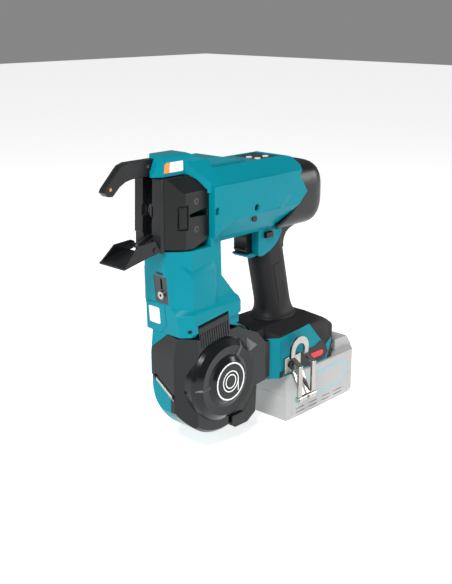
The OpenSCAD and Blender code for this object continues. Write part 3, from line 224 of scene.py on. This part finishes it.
steel = drawn("bright_steel", rgba(158, 156, 152), rgba(182, 180, 175), 0.24, (1.0, 1.0, 0.06))
machined = drawn("machined_steel", rgba(112, 113, 116), rgba(134, 135, 138), 0.38, (0.08, 1.0, 1.0))
gunmetal = drawn("gunmetal", rgba(62, 63, 65), rgba(84, 85, 87), 0.36, (1.0, 0.2, 1.0))
copper = drawn("copper_rivet", rgba(196, 124, 88), rgba(212, 142, 104), 0.32, (1.0, 0.2, 1.0))
wire_steel = drawn("annealed_wire", rgba(104, 104, 106), rgba(128, 127, 126), 0.45, (1.0, 0.1, 1.0))
black_steel = coated("black_steel", rgba(20, 21, 23), rgba(70, 70, 72), 0.38)
print("metal finishes: from", steel.name, "to", black_steel.name)

# %% [markdown]
# A moulded or pressed edge is never knife sharp, and its small round is what catches the light. The solids
# come as loose triangles with sharp edges, so each visible one is copied, its triangles are merged back into
# whole faces, and its long sharp edges are rounded with the bevel operator. Short edges are left alone,
# because a bevel there would fold over its neighbours.

# %% Rounding helpers
SHARP = math.radians(16)
FLAT = math.radians(0.6)
MERGE = 2e-6
ROOM = 2.2
FLAT_ANGLE = 26


def room(vert):
    return min(e.calc_length() for e in vert.link_edges)


def sharp_edges(bm, width, keep):
    found = []
    for e in bm.edges:
        if len(e.link_faces) != 2 or e.calc_face_angle(0.0) < SHARP:
            continue
        if keep(e) and min(room(e.verts[0]), room(e.verts[1])) > ROOM * width:
            found.append(e)
    return found


def bevelled(bm, edges, width, segments):
    bmesh.ops.bevel(bm, geom=edges, offset=width, offset_type="OFFSET", affect="EDGES", segments=segments,
                    profile=0.5, material=-1, clamp_overlap=True)


def round_edges(bm, width, keep=lambda e: True, segments=3):
    edges = sharp_edges(bm, width, keep)
    if edges:
        bevelled(bm, edges, width, segments)
    return len(edges)


def merged(bm):
    bmesh.ops.remove_doubles(bm, verts=bm.verts, dist=MERGE)
    bmesh.ops.dissolve_degenerate(bm, edges=bm.edges, dist=MERGE)


def merged_copy(node):
    bm = bmesh.new()
    bm.from_mesh(frame["nodes"][node].data)
    merged(bm)
    bmesh.ops.dissolve_limit(bm, angle_limit=FLAT, verts=bm.verts, edges=bm.edges)
    return bm


def finished(bm, name, material, body, flat_angle=FLAT_ANGLE, wall=0.0):
    mesh = bpy.data.meshes.new(name)
    for face in bm.faces:
        face.smooth = True
    bm.to_mesh(mesh)
    bm.free()
    mesh.set_sharp_from_angle(angle=math.radians(flat_angle))
    mesh.materials.clear()
    mesh.materials.append(material)
    piece = bpy.data.objects.new(name, mesh)
    bpy.context.scene.collection.objects.link(piece)
    if wall:
        skin = piece.modifiers.new("wall", "SOLIDIFY")
        skin.thickness = wall * MM
        skin.offset = -1.0
    crisp = piece.modifiers.new("even_shading", "WEIGHTED_NORMAL")
    crisp.keep_sharp = True
    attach(piece, body)
    return piece


def dress(node, material, width, keep=lambda e: True, extra=None, flat_angle=FLAT_ANGLE):
    bm = merged_copy(node)
    done = round_edges(bm, width * MM, keep)
    if extra:
        done += round_edges(bm, extra[0] * MM, extra[1], 1)
    piece = finished(bm, node + "_skin", material, node_body[node], flat_angle)
    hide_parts(node)
    print(node, "rounded edges:", done)


print("rounding helpers ready")

# %% [markdown]
# The two halves of the body meet on the middle plane. Their outer edges get a round of about a millimetre,
# but the edges of the parting line only a quarter of that, so that a fine seam shows as on the real moulding.

# %% Body mouldings
SEAM_Y = at(0, 0, 0).y
SEAM_NEAR = 1e-4


def off_seam(e):
    return max(abs(v.co.y - SEAM_Y) for v in e.verts) > SEAM_NEAR


def on_seam(e):
    return not off_seam(e)


for half in ("left_housing", "right_housing"):
    dress(half, teal, 0.9, off_seam, (0.2, on_seam))
dress("reel_case", teal, 0.7)
dress("front_cover", teal, 0.4)
dress("handle_grip", rubber, 1.2, flat_angle=50)
for side in ("left", "right"):
    dress(side + "_head_cover", dark, 0.7)
    dress(side + "_contact_plate", black_steel, 0.5)
    dress(side + "_curl_plate", black_steel, 0.35)
dress("curl_guide_core", black_steel, 0.3)
dress("lower_guide", black_steel, 0.4)
dress("head_frame", machined, 0.3)
dress("reel_case_back", dark, 0.8)
dress("reel_cover", smoke, 0.6)
dress("cover_bar", steel, 0.3)
dress("cover_latch", dark, 0.5)
dress("trigger", dark, 0.9)
dress("lock_button", dark, 0.6)
dress("control_panel", dark, 0.3)
for case in ("lower", "upper"):
    dress("battery_" + case + "_case", pale, 1.2)
dress("battery_button", dark, 0.6)
dress("hook_bracket", steel, 0.35)
dress("hook_loop", steel, 0.5)

# %% [markdown]
# What sits inside, and the small turned parts, already have the right shape. They stay as they are and only
# get a finish.

# %% Finishes on the other solids
FINISH = {
    "bright_steel": machined, "wire_steel": wire_steel, "spool_plastic": spool, "white_button": white,
    "dark_shell": dark, "cell_wrap": wrap, "copper_rivet": copper, "black_steel": black_steel,
}
BRIGHT = ("wire_tube", "hook_pin")
BLACKENED = ("housing_screws", "lower_guide_pin", "hinge_pin", "hook_screw")
GREYED = ("head_screws", "feed_window")
GROUPS = ((BRIGHT, steel), (BLACKENED, black_steel), (GREYED, gunmetal))
SPECIAL = {node: material for nodes, material in GROUPS for node in nodes}
kept = 0
for name, solid in frame["nodes"].items():
    slot = node_slot[name]
    if slot in FINISH:
        solid.data.materials.clear()
        solid.data.materials.append(SPECIAL.get(name, FINISH[slot]))
        kept += 1
print("solids with a finish of their own:", kept)

# %% [markdown]
# The rest of the pieces are new. Most of them are thin plates with a drawn outline, so one helper makes a
# slab: a few vertices make a face, the face is extruded, its corner edges get a wide round and its rims a
# small one. Others make the convex hull of some points, turn a small profile round the reel axis, and join
# a stack of loops into one skin.

# %% Helpers for new pieces
CORNER_STEPS, RIM_STEPS = 4, 2
ALONG = 0.99
AROUND = 96
REEL_X, REEL_Z = -45.5, 86.0


def is_along(edge, way):
    line = edge.verts[1].co - edge.verts[0].co
    return abs(line.normalized().dot(way.normalized())) > ALONG


def slab(points, push, corner=0.0, rim=0.0):
    bm = bmesh.new()
    face = bm.faces.new([bm.verts.new(at(*p)) for p in points])
    grown = bmesh.ops.extrude_face_region(bm, geom=[face])["geom"]
    way = Vector(push) * MM
    bmesh.ops.translate(bm, verts=[v for v in grown if isinstance(v, bmesh.types.BMVert)], vec=way)
    bmesh.ops.recalc_face_normals(bm, faces=bm.faces)
    for width, along, steps in ((corner, True, CORNER_STEPS), (rim, False, RIM_STEPS)):
        if width:
            lines = [e for e in bm.edges if is_along(e, way) == along and e.calc_face_angle(0.0) > SHARP]
            bevelled(bm, lines, width * MM, steps)
    return bm


def side_slab(outline, y, depth, corner=0.0, rim=0.0):
    return slab([(x, y, z) for x, z in outline], (0, depth, 0), corner, rim)


def wedge(points):
    bm = bmesh.new()
    bmesh.ops.convex_hull(bm, input=[bm.verts.new(at(*p)) for p in points])
    bmesh.ops.delete(bm, geom=[v for v in bm.verts if not v.link_faces], context="VERTS")
    bmesh.ops.recalc_face_normals(bm, faces=bm.faces)
    return bm


def turned(profile):
    bm = bmesh.new()
    ring = [bm.verts.new(at(REEL_X + r, y, REEL_Z)) for r, y in profile]
    edges = [bm.edges.new((a, b)) for a, b in zip(ring, ring[1:] + ring[:1])]
    bmesh.ops.spin(bm, geom=ring + edges, cent=at(REEL_X, 0, REEL_Z), axis=(0, 1, 0), angle=math.tau,
                   steps=AROUND, use_merge=True)
    bmesh.ops.remove_doubles(bm, verts=bm.verts, dist=MERGE)
    bmesh.ops.recalc_face_normals(bm, faces=bm.faces)
    return bm


def pressed(share, half, power):
    """One coordinate of an oval: a sine or cosine, pressed towards a box as the power grows"""
    return half * math.copysign(abs(share) ** (2 / power), share)


def oval(angle, half_a, half_b, power):
    return pressed(math.cos(angle), half_a, power), pressed(math.sin(angle), half_b, power)


def lofted(rows):
    bm = bmesh.new()
    bmesh.ops.create_grid(bm, x_segments=AROUND, y_segments=len(rows) - 1, size=0.5)
    for v in bm.verts:
        row = rows[round((v.co.y + 0.5) * (len(rows) - 1))]
        v.co = at(*row((v.co.x + 0.5) * math.tau))
    merged(bm)
    bmesh.ops.recalc_face_normals(bm, faces=bm.faces)
    return bm


def tilted(origin, angle):
    """Places in a frame that leans in the side view"""
    c, s = math.cos(angle), math.sin(angle)
    x, y, z = origin

    def place(along, across, up):
        return x + along * c - up * s, y + across, z + along * s + up * c

    return place


def joined(parts):
    whole = bmesh.new()
    for part in parts:
        scratch = bpy.data.meshes.new("scratch")
        part.to_mesh(scratch)
        part.free()
        whole.from_mesh(scratch)
        bpy.data.meshes.remove(scratch)
    return whole


def added(bm, name, material, body, flat_angle=FLAT_ANGLE, wall=0.0):
    piece = finished(bm, name, material, body, flat_angle, wall)
    print(name, "faces:", len(piece.data.polygons))
    return piece


print("helpers for new pieces ready")

# %% [markdown]
# The reel cover is a smoked moulding. Its plate is fluted below the hinge, which stiffens it there. The flutes
# are drawn in the hinge's own tilted direction, and they stop short of the hinge so that the cover can swing.

# %% Flutes of the cover
FLUTES, FLUTE_FIRST, FLUTE_PITCH, FLUTE_HALF = 13, -19.2, 3.2, 0.8
FLUTE_TOP, FLUTE_END = -6.0, -21.0
PLATE_OUT, FLUTE_DEPTH, FLUTE_RIM = -3.5, 0.8, 0.3
on_hinge = tilted((-57.5, -34.4, 150.0), math.radians(7.4))

flutes = []
for i in range(FLUTES):
    middle = FLUTE_FIRST + FLUTE_PITCH * i
    low, high = middle - FLUTE_HALF, middle + FLUTE_HALF
    outline = [(low, FLUTE_TOP), (high, FLUTE_TOP), (high, FLUTE_END), (low, FLUTE_END)]
    corners = [on_hinge(a, PLATE_OUT, u) for a, u in outline]
    flutes.append(slab(corners, (0, -FLUTE_DEPTH, 0), rim=FLUTE_RIM))
added(joined(flutes), "cover_flutes", smoke, "cover")

# %% [markdown]
# The dome carries a bright ring with a plain coil drawn in it. It is a printed badge on the real cover; here it
# is a film of a quarter of a millimetre, turned about the reel axis. The coil's tail is a short straight film.

# %% Badge of the cover
DOME_Y = -50.0
BADGE_IN, BADGE_OUT = DOME_Y + 0.05, DOME_Y - 0.22
COIL_IN, COIL_OUT, TAIL_L = 10.4, 11.5, 13.0
RINGS = ((18.7, 20.2), (COIL_IN, COIL_OUT), (6.6, 7.7))

films = [turned([(a, BADGE_IN), (b, BADGE_IN), (b, BADGE_OUT), (a, BADGE_OUT)]) for a, b in RINGS]
near, far = REEL_X + COIL_IN, REEL_X + COIL_OUT
tail = [(near, REEL_Z), (far, REEL_Z), (far, REEL_Z - TAIL_L), (near, REEL_Z - TAIL_L)]
films.append(side_slab(tail, DOME_Y + 0.03, -0.24))
added(joined(films), "cover_badge", white, "cover")

# %% [markdown]
# Two wedges on the dome and one facet beside it are raised pieces in a lighter grey than the smoked cover. That
# lighter grey is a painted highlight, where these faces catch the light. A wedge has four feet on the dome, a ridge
# of two points and a tip that runs out on the dome's slope.

# %% Wedges and facet of the cover, in a painted highlight grey
HUB = Vector((REEL_X, 0, REEL_Z))
FOOT_Y, RIDGE_Y, TIP_Y = -44.0, -48.5, -42.4
FEET = ((26.0, 3.6), (38.0, 3.0))
RIDGE, TIP = (26.5, 37.5), 43.6
EAR = [(-9.0, -37.9, 121.0), (9.0, -37.9, 108.0), (-7.5, -37.9, 102.0), (-4.5, -39.5, 109.5)]


def dome_wedge(angle):
    way = Vector((math.cos(angle), 0, math.sin(angle)))
    cross = Vector((-way.z, 0, way.x))

    def spot(radius, y, aside=0.0):
        return HUB + way * radius + cross * aside + Vector((0, y, 0))

    feet = [spot(r, FOOT_Y, s * half) for r, half in FEET for s in (-1, 1)]
    return wedge(feet + [spot(r, RIDGE_Y) for r in RIDGE] + [spot(TIP, TIP_Y)])


wedges = [dome_wedge(math.radians(a)) for a in (60.0, 181.0)]
# The lighter grey on these pieces is a painted highlight
added(joined(wedges), "dome_wedges", highlight_grey, "cover")
added(wedge(EAR), "ear_facet", highlight_grey, "cover")

# %% [markdown]
# The bright bar on the cover's front is a pressed steel strip with dark plastic ends.

# %% Ends of the bright bar
BAR_X, END_DEPTH, END_HALF, END_RIM = -97.4, 1.7, 1.6, 0.3

ends = []
for y, z in ((5.4, 90.6), (-20.4, 74.6)):
    low, high = y - END_HALF, y + END_HALF
    outline = [(low, z - 1.9), (high, z - 0.2), (high, z + 3.2), (low, z + 1.5)]
    ends.append(slab([(BAR_X, a, b) for a, b in outline], (-END_DEPTH, 0, 0), rim=END_RIM))
added(joined(ends), "cover_bar_ends", dark, "cover")

# %% [markdown]
# Inside, the reel carries soft annealed wire. The solid ring of the model becomes turns of wire: a small circle
# is spun round the axis and moved along it with every step, which is how wire is really laid on a spool. A plain
# core stands for the layers below.

# %% Wire on the reel
WIRE_R, WIRE_SIDES, TURN_STEPS = 0.8, 8, 40
FIRST_Y, LAST_Y, COIL_R = -22.1, 5.1, 37.1
CORE = [(20.0, -22.9), (36.6, -22.9), (36.6, 5.9), (20.0, 5.9)]

turns = int((LAST_Y - FIRST_Y) / (2 * WIRE_R))
step = 2 * WIRE_R * MM / TURN_STEPS
coil = bmesh.new()
start = bmesh.ops.create_circle(coil, cap_ends=False, segments=WIRE_SIDES, radius=WIRE_R * MM)["verts"]
bmesh.ops.translate(coil, verts=start, vec=at(REEL_X + COIL_R, FIRST_Y, REEL_Z))
bmesh.ops.spin(coil, geom=coil.verts[:] + coil.edges[:], cent=at(REEL_X, 0, REEL_Z), axis=(0, 1, 0),
               dvec=(0, step, 0), angle=math.tau * turns, steps=TURN_STEPS * turns)
bmesh.ops.holes_fill(coil, edges=[e for e in coil.edges if e.is_boundary])
bmesh.ops.recalc_face_normals(coil, faces=coil.faces)
winding = added(joined([coil, turned(CORE)]), "wound_wire", wire_steel, "reel")
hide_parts("wire_winding")

# %% [markdown]
# Labels are thin films with rounded corners. The ones on the hood and on the column's front stay blank: a white
# field, and on the hood an orange end.

# %% Blank labels
HOOD_Y, FILM_RIM = -15.9, 0.08
HOOD_FIELD = [(-92.6, 311.0), (-76.0, 311.0), (-76.0, 301.4), (-93.6, 301.4)]
HOOD_END = [(-99.4, 309.2), (-97.2, 311.0), (-93.0, 311.0), (-94.0, 301.4), (-100.6, 301.4)]
LEAN = math.radians(5.0)
OUT = Vector((-math.cos(LEAN), 0.0, -math.sin(LEAN)))
FRONT_FIELD = [(13.6, -13.8), (-1.6, -13.8), (-1.6, -31.2), (13.6, -31.2)]
on_front = tilted((-98.0, 0.0, 180.0), LEAN)

hood_field = side_slab(HOOD_FIELD, HOOD_Y, -0.35, 1.0, FILM_RIM)
added(hood_field, "hood_label", white, "tool")
hood_end = side_slab(HOOD_END, HOOD_Y, -0.36, rim=FILM_RIM)
added(hood_end, "hood_label_end", orange, "tool")
front_field = slab([on_front(-0.55, a, u) for a, u in FRONT_FIELD], OUT * 0.3, 1.6, FILM_RIM)
added(front_field, "front_label", white, "tool")

# %% [markdown]
# The wire leaves through a steel window on the column. Above the window a short slot shows dark; here it is a dark
# film on the surface, which is painted shade that stands for the slot's recess.

# %% Painted shade of the slot over the window
SLOT_SHADE_OUTLINE = [(-1.4, 21.9), (-11.2, 21.9), (-11.2, 24.1), (-1.4, 24.1)]

# The dark film is painted shade in place of the slot's recess
slot_shade_film = slab([on_front(0.2, a, u) for a, u in SLOT_SHADE_OUTLINE], OUT * 0.5, 0.5, 0.1)
added(slot_shade_film, "window_slot_shade", dark, "tool")

# %% [markdown]
# The left side of the base has a dark inlay with a plain red tab, and a small dark foot at the front corner. All
# three are thin films on the flank.

# %% Inlays of the base
FLANK = -38.95
INLAY = [(78.0, 78.5), (106.7, 80.0), (116.5, 84.0), (125.5, 76.6), (129.8, 66.7), (124.0, 60.2), (89.3, 59.6),
         (79.0, 66.0)]
TAB = [(99.0, 72.4), (119.0, 72.4), (122.0, 68.6), (119.5, 65.6), (99.0, 65.6)]
FOOT = [(44.6, 66.0), (50.4, 66.0), (50.4, 58.6), (44.6, 58.6)]

added(side_slab(INLAY, FLANK, -0.55, 1.2, 0.2), "base_inlay", dark, "tool")
added(side_slab(TAB, FLANK - 0.5, -0.35, 0.5, 0.1), "base_tab", red, "tool")
added(side_slab(FOOT, FLANK, -0.5, 0.8, 0.2), "base_foot_tab", dark, "tool")

# %% [markdown]
# The battery's label is only a pale blue frame round a blank field. It is two films, one on the other. The upper
# one has the same outline, moved in by an even margin: each corner goes to where its two moved sides meet.

# %% Battery label
CASE_Y, MARGIN = -41.95, 1.9
LABEL = [(66.8, 21.6), (67.4, 29.7), (91.5, 47.4), (157.5, 49.4), (162.8, 46.4), (164.2, 25.8), (143.0, 21.4)]


def moved_in(outline, margin):
    inner = []
    for before, here, after in zip(outline[-1:] + outline[:-1], outline, outline[1:] + outline[:1]):
        first = (Vector(here) - Vector(before)).normalized()
        second = (Vector(after) - Vector(here)).normalized()
        outward = (second - first) / (first.x * second.y - first.y * second.x)
        inner.append(tuple(Vector(here) - outward * margin))
    return inner


label_frame = side_slab(LABEL, CASE_Y, -0.25, 0.8)
added(label_frame, "battery_label_frame", cyan, "battery")
label_field = side_slab(moved_in(LABEL, MARGIN), CASE_Y, -0.33, 0.6)
added(label_field, "battery_label_field", pale, "battery")

# %% [markdown]
# The soft grip has a raised panel down each side of the handle. It is a slab with a deep rim.

# %% Handle panels
HANDLE_X, HANDLE_Z, RAKE = 69.5, 160.0, math.radians(13.0)
PANEL_Y, PANEL_DEPTH = 15.3, 0.7
PANEL = [(-6.0, 22.0), (6.0, 22.0), (6.0, -22.0), (-6.0, -22.0)]
on_handle = tilted((HANDLE_X, 0.0, HANDLE_Z), RAKE)

panels = []
for hand in (-1, 1):
    corners = [on_handle(a, hand * PANEL_Y, u) for a, u in PANEL]
    panels.append(slab(corners, (0, hand * PANEL_DEPTH, 0), 1.2, 0.28))
added(joined(panels), "handle_panels", rubber, "tool")

# %% [markdown]
# Where the handle meets the base, the rubber swells in a soft flare, which a hand feels as a stop. The flare is a
# loft: ovals that grow towards the base are joined into one skin.

# %% Flare of the handle
HANDLE_HALF_L, HANDLE_HALF_W, HANDLE_POWER = 22.0, 15.5, 2.4
FORWARD, LENGTHEN, WIDEN = 0.3, 0.65, 0.75
SWELLS = ((146.0, 0.1), (138.0, 0.5), (132.0, 1.2), (128.0, 2.2), (124.5, 3.8), (121.8, 5.9), (119.8, 8.3),
          (118.2, 11.0))


def flare_row(z, swell):
    middle = HANDLE_X + (HANDLE_Z - z) * math.tan(RAKE) - FORWARD * swell
    half_l, half_w = HANDLE_HALF_L + LENGTHEN * swell, HANDLE_HALF_W + WIDEN * swell

    def row(angle):
        x, y = oval(angle, half_l, half_w, HANDLE_POWER)
        return middle + x, y, z

    return row


flare = lofted([flare_row(z, swell) for z, swell in SWELLS])
added(flare, "handle_flare", rubber, "tool", flat_angle=60, wall=1.2)

# %% [markdown]
# The base's own hip is cut off level just under the flare, and its two rear corners are cut at a slant. Each cut
# is filled, and then the edges are rounded.

# %% Hip of the base
HIP_Z, HIP_ROUND = 118.6, 2.0
SLANT_X, SLANT_Y, SLANT_Z = 136.5, 37.5, 99.3


def cut_off(bm, point, outward):
    everything = bm.verts[:] + bm.edges[:] + bm.faces[:]
    bmesh.ops.bisect_plane(bm, geom=everything, plane_co=point, plane_no=outward, clear_outer=True)
    open_edges = [e for e in bm.edges if e.is_boundary]
    bmesh.ops.triangle_fill(bm, edges=open_edges, use_dissolve=True, use_beauty=True)
    bmesh.ops.recalc_face_normals(bm, faces=bm.faces)


hip = merged_copy("base_grip")
cut_off(hip, at(0, 0, HIP_Z), (0, 0, 1))
for hand in (-1, 1):
    cut_off(hip, at(SLANT_X, hand * SLANT_Y, SLANT_Z), (0.5, hand * 0.5, 0.7))
print("rounded edges of the hip:", round_edges(hip, HIP_ROUND * MM))
hip_skin = added(hip, "base_grip_skin", rubber, "tool", flat_angle=40)
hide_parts("base_grip")

# %% [markdown]
# The cap over the motor's rear is a soft cushion shape. It is lofted too: the first loop follows the slanted seam
# of the housing, the next loops run straight back, and the last ones shrink along a quarter of a circle. A wall is
# added inside with a modifier.

# %% Rear cap
CAP_X, CAP_ROUND, CAP_MIDDLE = 131.0, 25.0, 255.5
CAP_HALF_W, CAP_HALF_H, CAP_POWER = 33.0, 35.5, 3.4
END_HALF_W, END_HALF_H, END_POWER = 12.0, 10.0, 2.6
STRAIGHT_ROWS, END_ROWS = 6, 9
SEAM_LINE = ((219.0, 66.0), (226.0, 49.0), (235.0, 60.0), (261.0, 89.0), (280.0, 76.0), (292.0, 82.0))


def seam_x(z):
    for (low, x0), (high, x1) in zip(SEAM_LINE, SEAM_LINE[1:]):
        if z <= high:
            return x0 + (x1 - x0) * (z - low) / (high - low)
    return SEAM_LINE[-1][1]


def cap_row(share):
    def row(angle):
        y, z = oval(angle, CAP_HALF_W, CAP_HALF_H, CAP_POWER)
        start = seam_x(CAP_MIDDLE + z)
        return start + (CAP_X - CAP_ROUND - start) * share, y, CAP_MIDDLE + z

    return row


def cap_end_row(turn):
    shrink = math.cos(turn)
    half_w = END_HALF_W + (CAP_HALF_W - END_HALF_W) * shrink
    half_h = END_HALF_H + (CAP_HALF_H - END_HALF_H) * shrink
    power = END_POWER + (CAP_POWER - END_POWER) * shrink
    x = CAP_X - CAP_ROUND + CAP_ROUND * math.sin(turn)

    def row(angle):
        y, z = oval(angle, half_w, half_h, power)
        return x, y, CAP_MIDDLE + z

    return row


rows = [cap_row(k / STRAIGHT_ROWS) for k in range(STRAIGHT_ROWS + 1)]
rows += [cap_end_row(math.radians(90 / END_ROWS * k)) for k in range(1, END_ROWS + 1)]
rows.append(lambda angle: (CAP_X, 0.0, CAP_MIDDLE))
cap = added(lofted(rows), "rear_cap", dark, "tool", flat_angle=60, wall=2.4)
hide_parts("rear_cover")

# %% [markdown]
# A fillet under the cap leads the rear of the handle into the barrel in one curve.

# %% Neck of the handle
NECK = [(60.0, 224.0), (112.0, 223.0), (106.0, 219.4), (98.0, 217.4), (91.0, 215.3), (86.0, 212.0), (83.0, 207.5),
        (81.5, 202.0), (81.8, 196.0), (70.0, 196.0)]
NECK_HALF_W, NECK_RIM = 11.0, 5.0

neck = side_slab(NECK, -NECK_HALF_W, 2 * NECK_HALF_W, rim=NECK_RIM)
added(neck, "neck_fillet", dark, "tool", flat_angle=50)

# %% [markdown]
# The body's flanks have facets that catch the light: one at the rear end of the raised panel, and a thicker foot on
# the column, which stops in a slanted ledge under the head. Each is the convex hull of a few points on the moulding,
# drawn for one hand and mirrored for the other.

# %% Facets of the body
FLANK_FACET = [(57.0, 37.6, 263.2), (52.0, 37.6, 260.0), (41.5, 37.6, 251.0), (62.0, 36.0, 259.8),
               (46.5, 36.0, 247.4), (52.0, 35.0, 255.0)]
FOOT_OUTER = [(-83.0, 35.5, 166.0), (-83.0, 35.5, 199.0), (-53.0, 35.5, 166.0), (-53.0, 35.5, 200.0)]
FOOT_LEDGE = [(-93.0, 21.2, 210.0), (-88.5, 25.2, 211.5), (-79.5, 31.8, 206.0), (-53.0, 31.8, 211.0),
              (-47.0, 31.8, 206.0)]
FOOT_LOW = [(-96.6, 17.9, 166.0), (-47.0, 31.8, 166.0), (-70.0, 28.0, 190.0)]

facets = []
for hand in (-1, 1):
    for points in (FLANK_FACET, FOOT_OUTER + FOOT_LEDGE + FOOT_LOW):
        facets.append(wedge([(x, hand * y, z) for x, y, z in points]))
added(joined(facets), "body_facets", teal, "tool")

# %% [markdown]
# Behind the dark inlay, a corner of the housing's own colour shows between the rubber and the battery.

# %% Rear corner of the base
REAR_CORNER = [(126.5, 76.4), (136.0, 83.0), (136.4, 78.5), (128.4, 58.4), (106.0, 58.3), (106.0, 59.4),
               (124.6, 59.4), (130.8, 66.7)]

rear_corner = side_slab(REAR_CORNER, FLANK, -0.5, rim=0.15)
added(rear_corner, "base_rear_corner", teal, "tool")

# %% [markdown]
# The photograph is a catalogue picture: white all round, with large soft lights. A pale floor that glows a
# little and a dim, even surround give the same calm reflections. Past the far edge of the floor, the surround
# shows as a grey band at the top of the picture.

# %% Floor and surround
FLOOR_HALF, FLOOR_GLOW, SURROUND = 6.0, 0.64, 0.24
WHITE = (1.0, 1.0, 1.0, 1.0)

bm = bmesh.new()
bmesh.ops.create_grid(bm, x_segments=1, y_segments=1, size=FLOOR_HALF)
floor_mesh = bpy.data.meshes.new("floor")
bm.to_mesh(floor_mesh)
bm.free()
floor = bpy.data.objects.new("floor", floor_mesh)
bpy.context.scene.collection.objects.link(floor)
paint = Finish("studio_floor", roughness=0.9, emission_color=WHITE, emission_strength=FLOOR_GLOW)
paint.feed("Base Color", paint.mix(paint.noise(3.0), rgba(250, 250, 250), rgba(253, 253, 253)))
floor.data.materials.append(paint.material)

world = bpy.data.worlds.new("surround")
bpy.context.scene.world = world
world.use_nodes = True
world.node_tree.nodes["Background"].inputs["Color"].default_value = WHITE
world.node_tree.nodes["Background"].inputs["Strength"].default_value = SURROUND
bpy.context.scene.view_settings.view_transform = "Standard"
print("floor side:", 2 * FLOOR_HALF, "m")

# %% [markdown]
# Three disc lamps stand round the tool: the key lamp in front of it and above, a weak one on its far side, and
# one behind that draws the rear edges.

# %% Lamps
AIM = Vector((0.0, 0.0, 0.16))
LAMPS = (
    ("key_lamp", (-1.0, -0.6, 1.3), 0.5, 25),
    ("side_lamp", (-1.3, 0.5, 0.6), 0.8, 4),
    ("rear_lamp", (1.2, -0.8, 0.5), 0.6, 9),
)

for name, where, size, watts in LAMPS:
    light = bpy.data.lights.new(name, "AREA")
    light.shape = "DISK"
    light.size = size
    light.energy = watts
    lamp = bpy.data.objects.new(name, light)
    bpy.context.scene.collection.objects.link(lamp)
    lamp.location = where
    lamp.rotation_euler = (AIM - Vector(where)).to_track_quat("-Z", "Y").to_euler()
print("lamps:", len(LAMPS))

# %% [markdown]
# The camera stands in front of the tool's left side and a little above it. Its place, lens and aim were
# fitted to points of the photograph, in the same millimetres as the parts.

# %% Camera
AZIMUTH = math.radians(-46.5)
ELEVATION = math.radians(17.5)
DISTANCE = 962.0
FOCAL_PX = 905.0
FRAME_PX = 584.0
AIM_Z = 160.0

camera_data = bpy.data.cameras.new("catalogue_view")
camera_data.sensor_fit = "VERTICAL"
camera_data.sensor_height = 36.0
camera_data.lens = FOCAL_PX / FRAME_PX * camera_data.sensor_height
camera_data.clip_start = 0.05
camera = bpy.data.objects.new("catalogue_view", camera_data)
bpy.context.scene.collection.objects.link(camera)
level = math.cos(ELEVATION)
away = Vector((math.sin(AZIMUTH) * level, -math.cos(AZIMUTH) * level, math.sin(ELEVATION)))
camera.location = at(0, 0, AIM_Z) + away * DISTANCE * MM
camera.rotation_euler = (-away).to_track_quat("-Z", "Y").to_euler()
bpy.context.scene.camera = camera
print("camera lens:", round(camera_data.lens, 1), "mm")
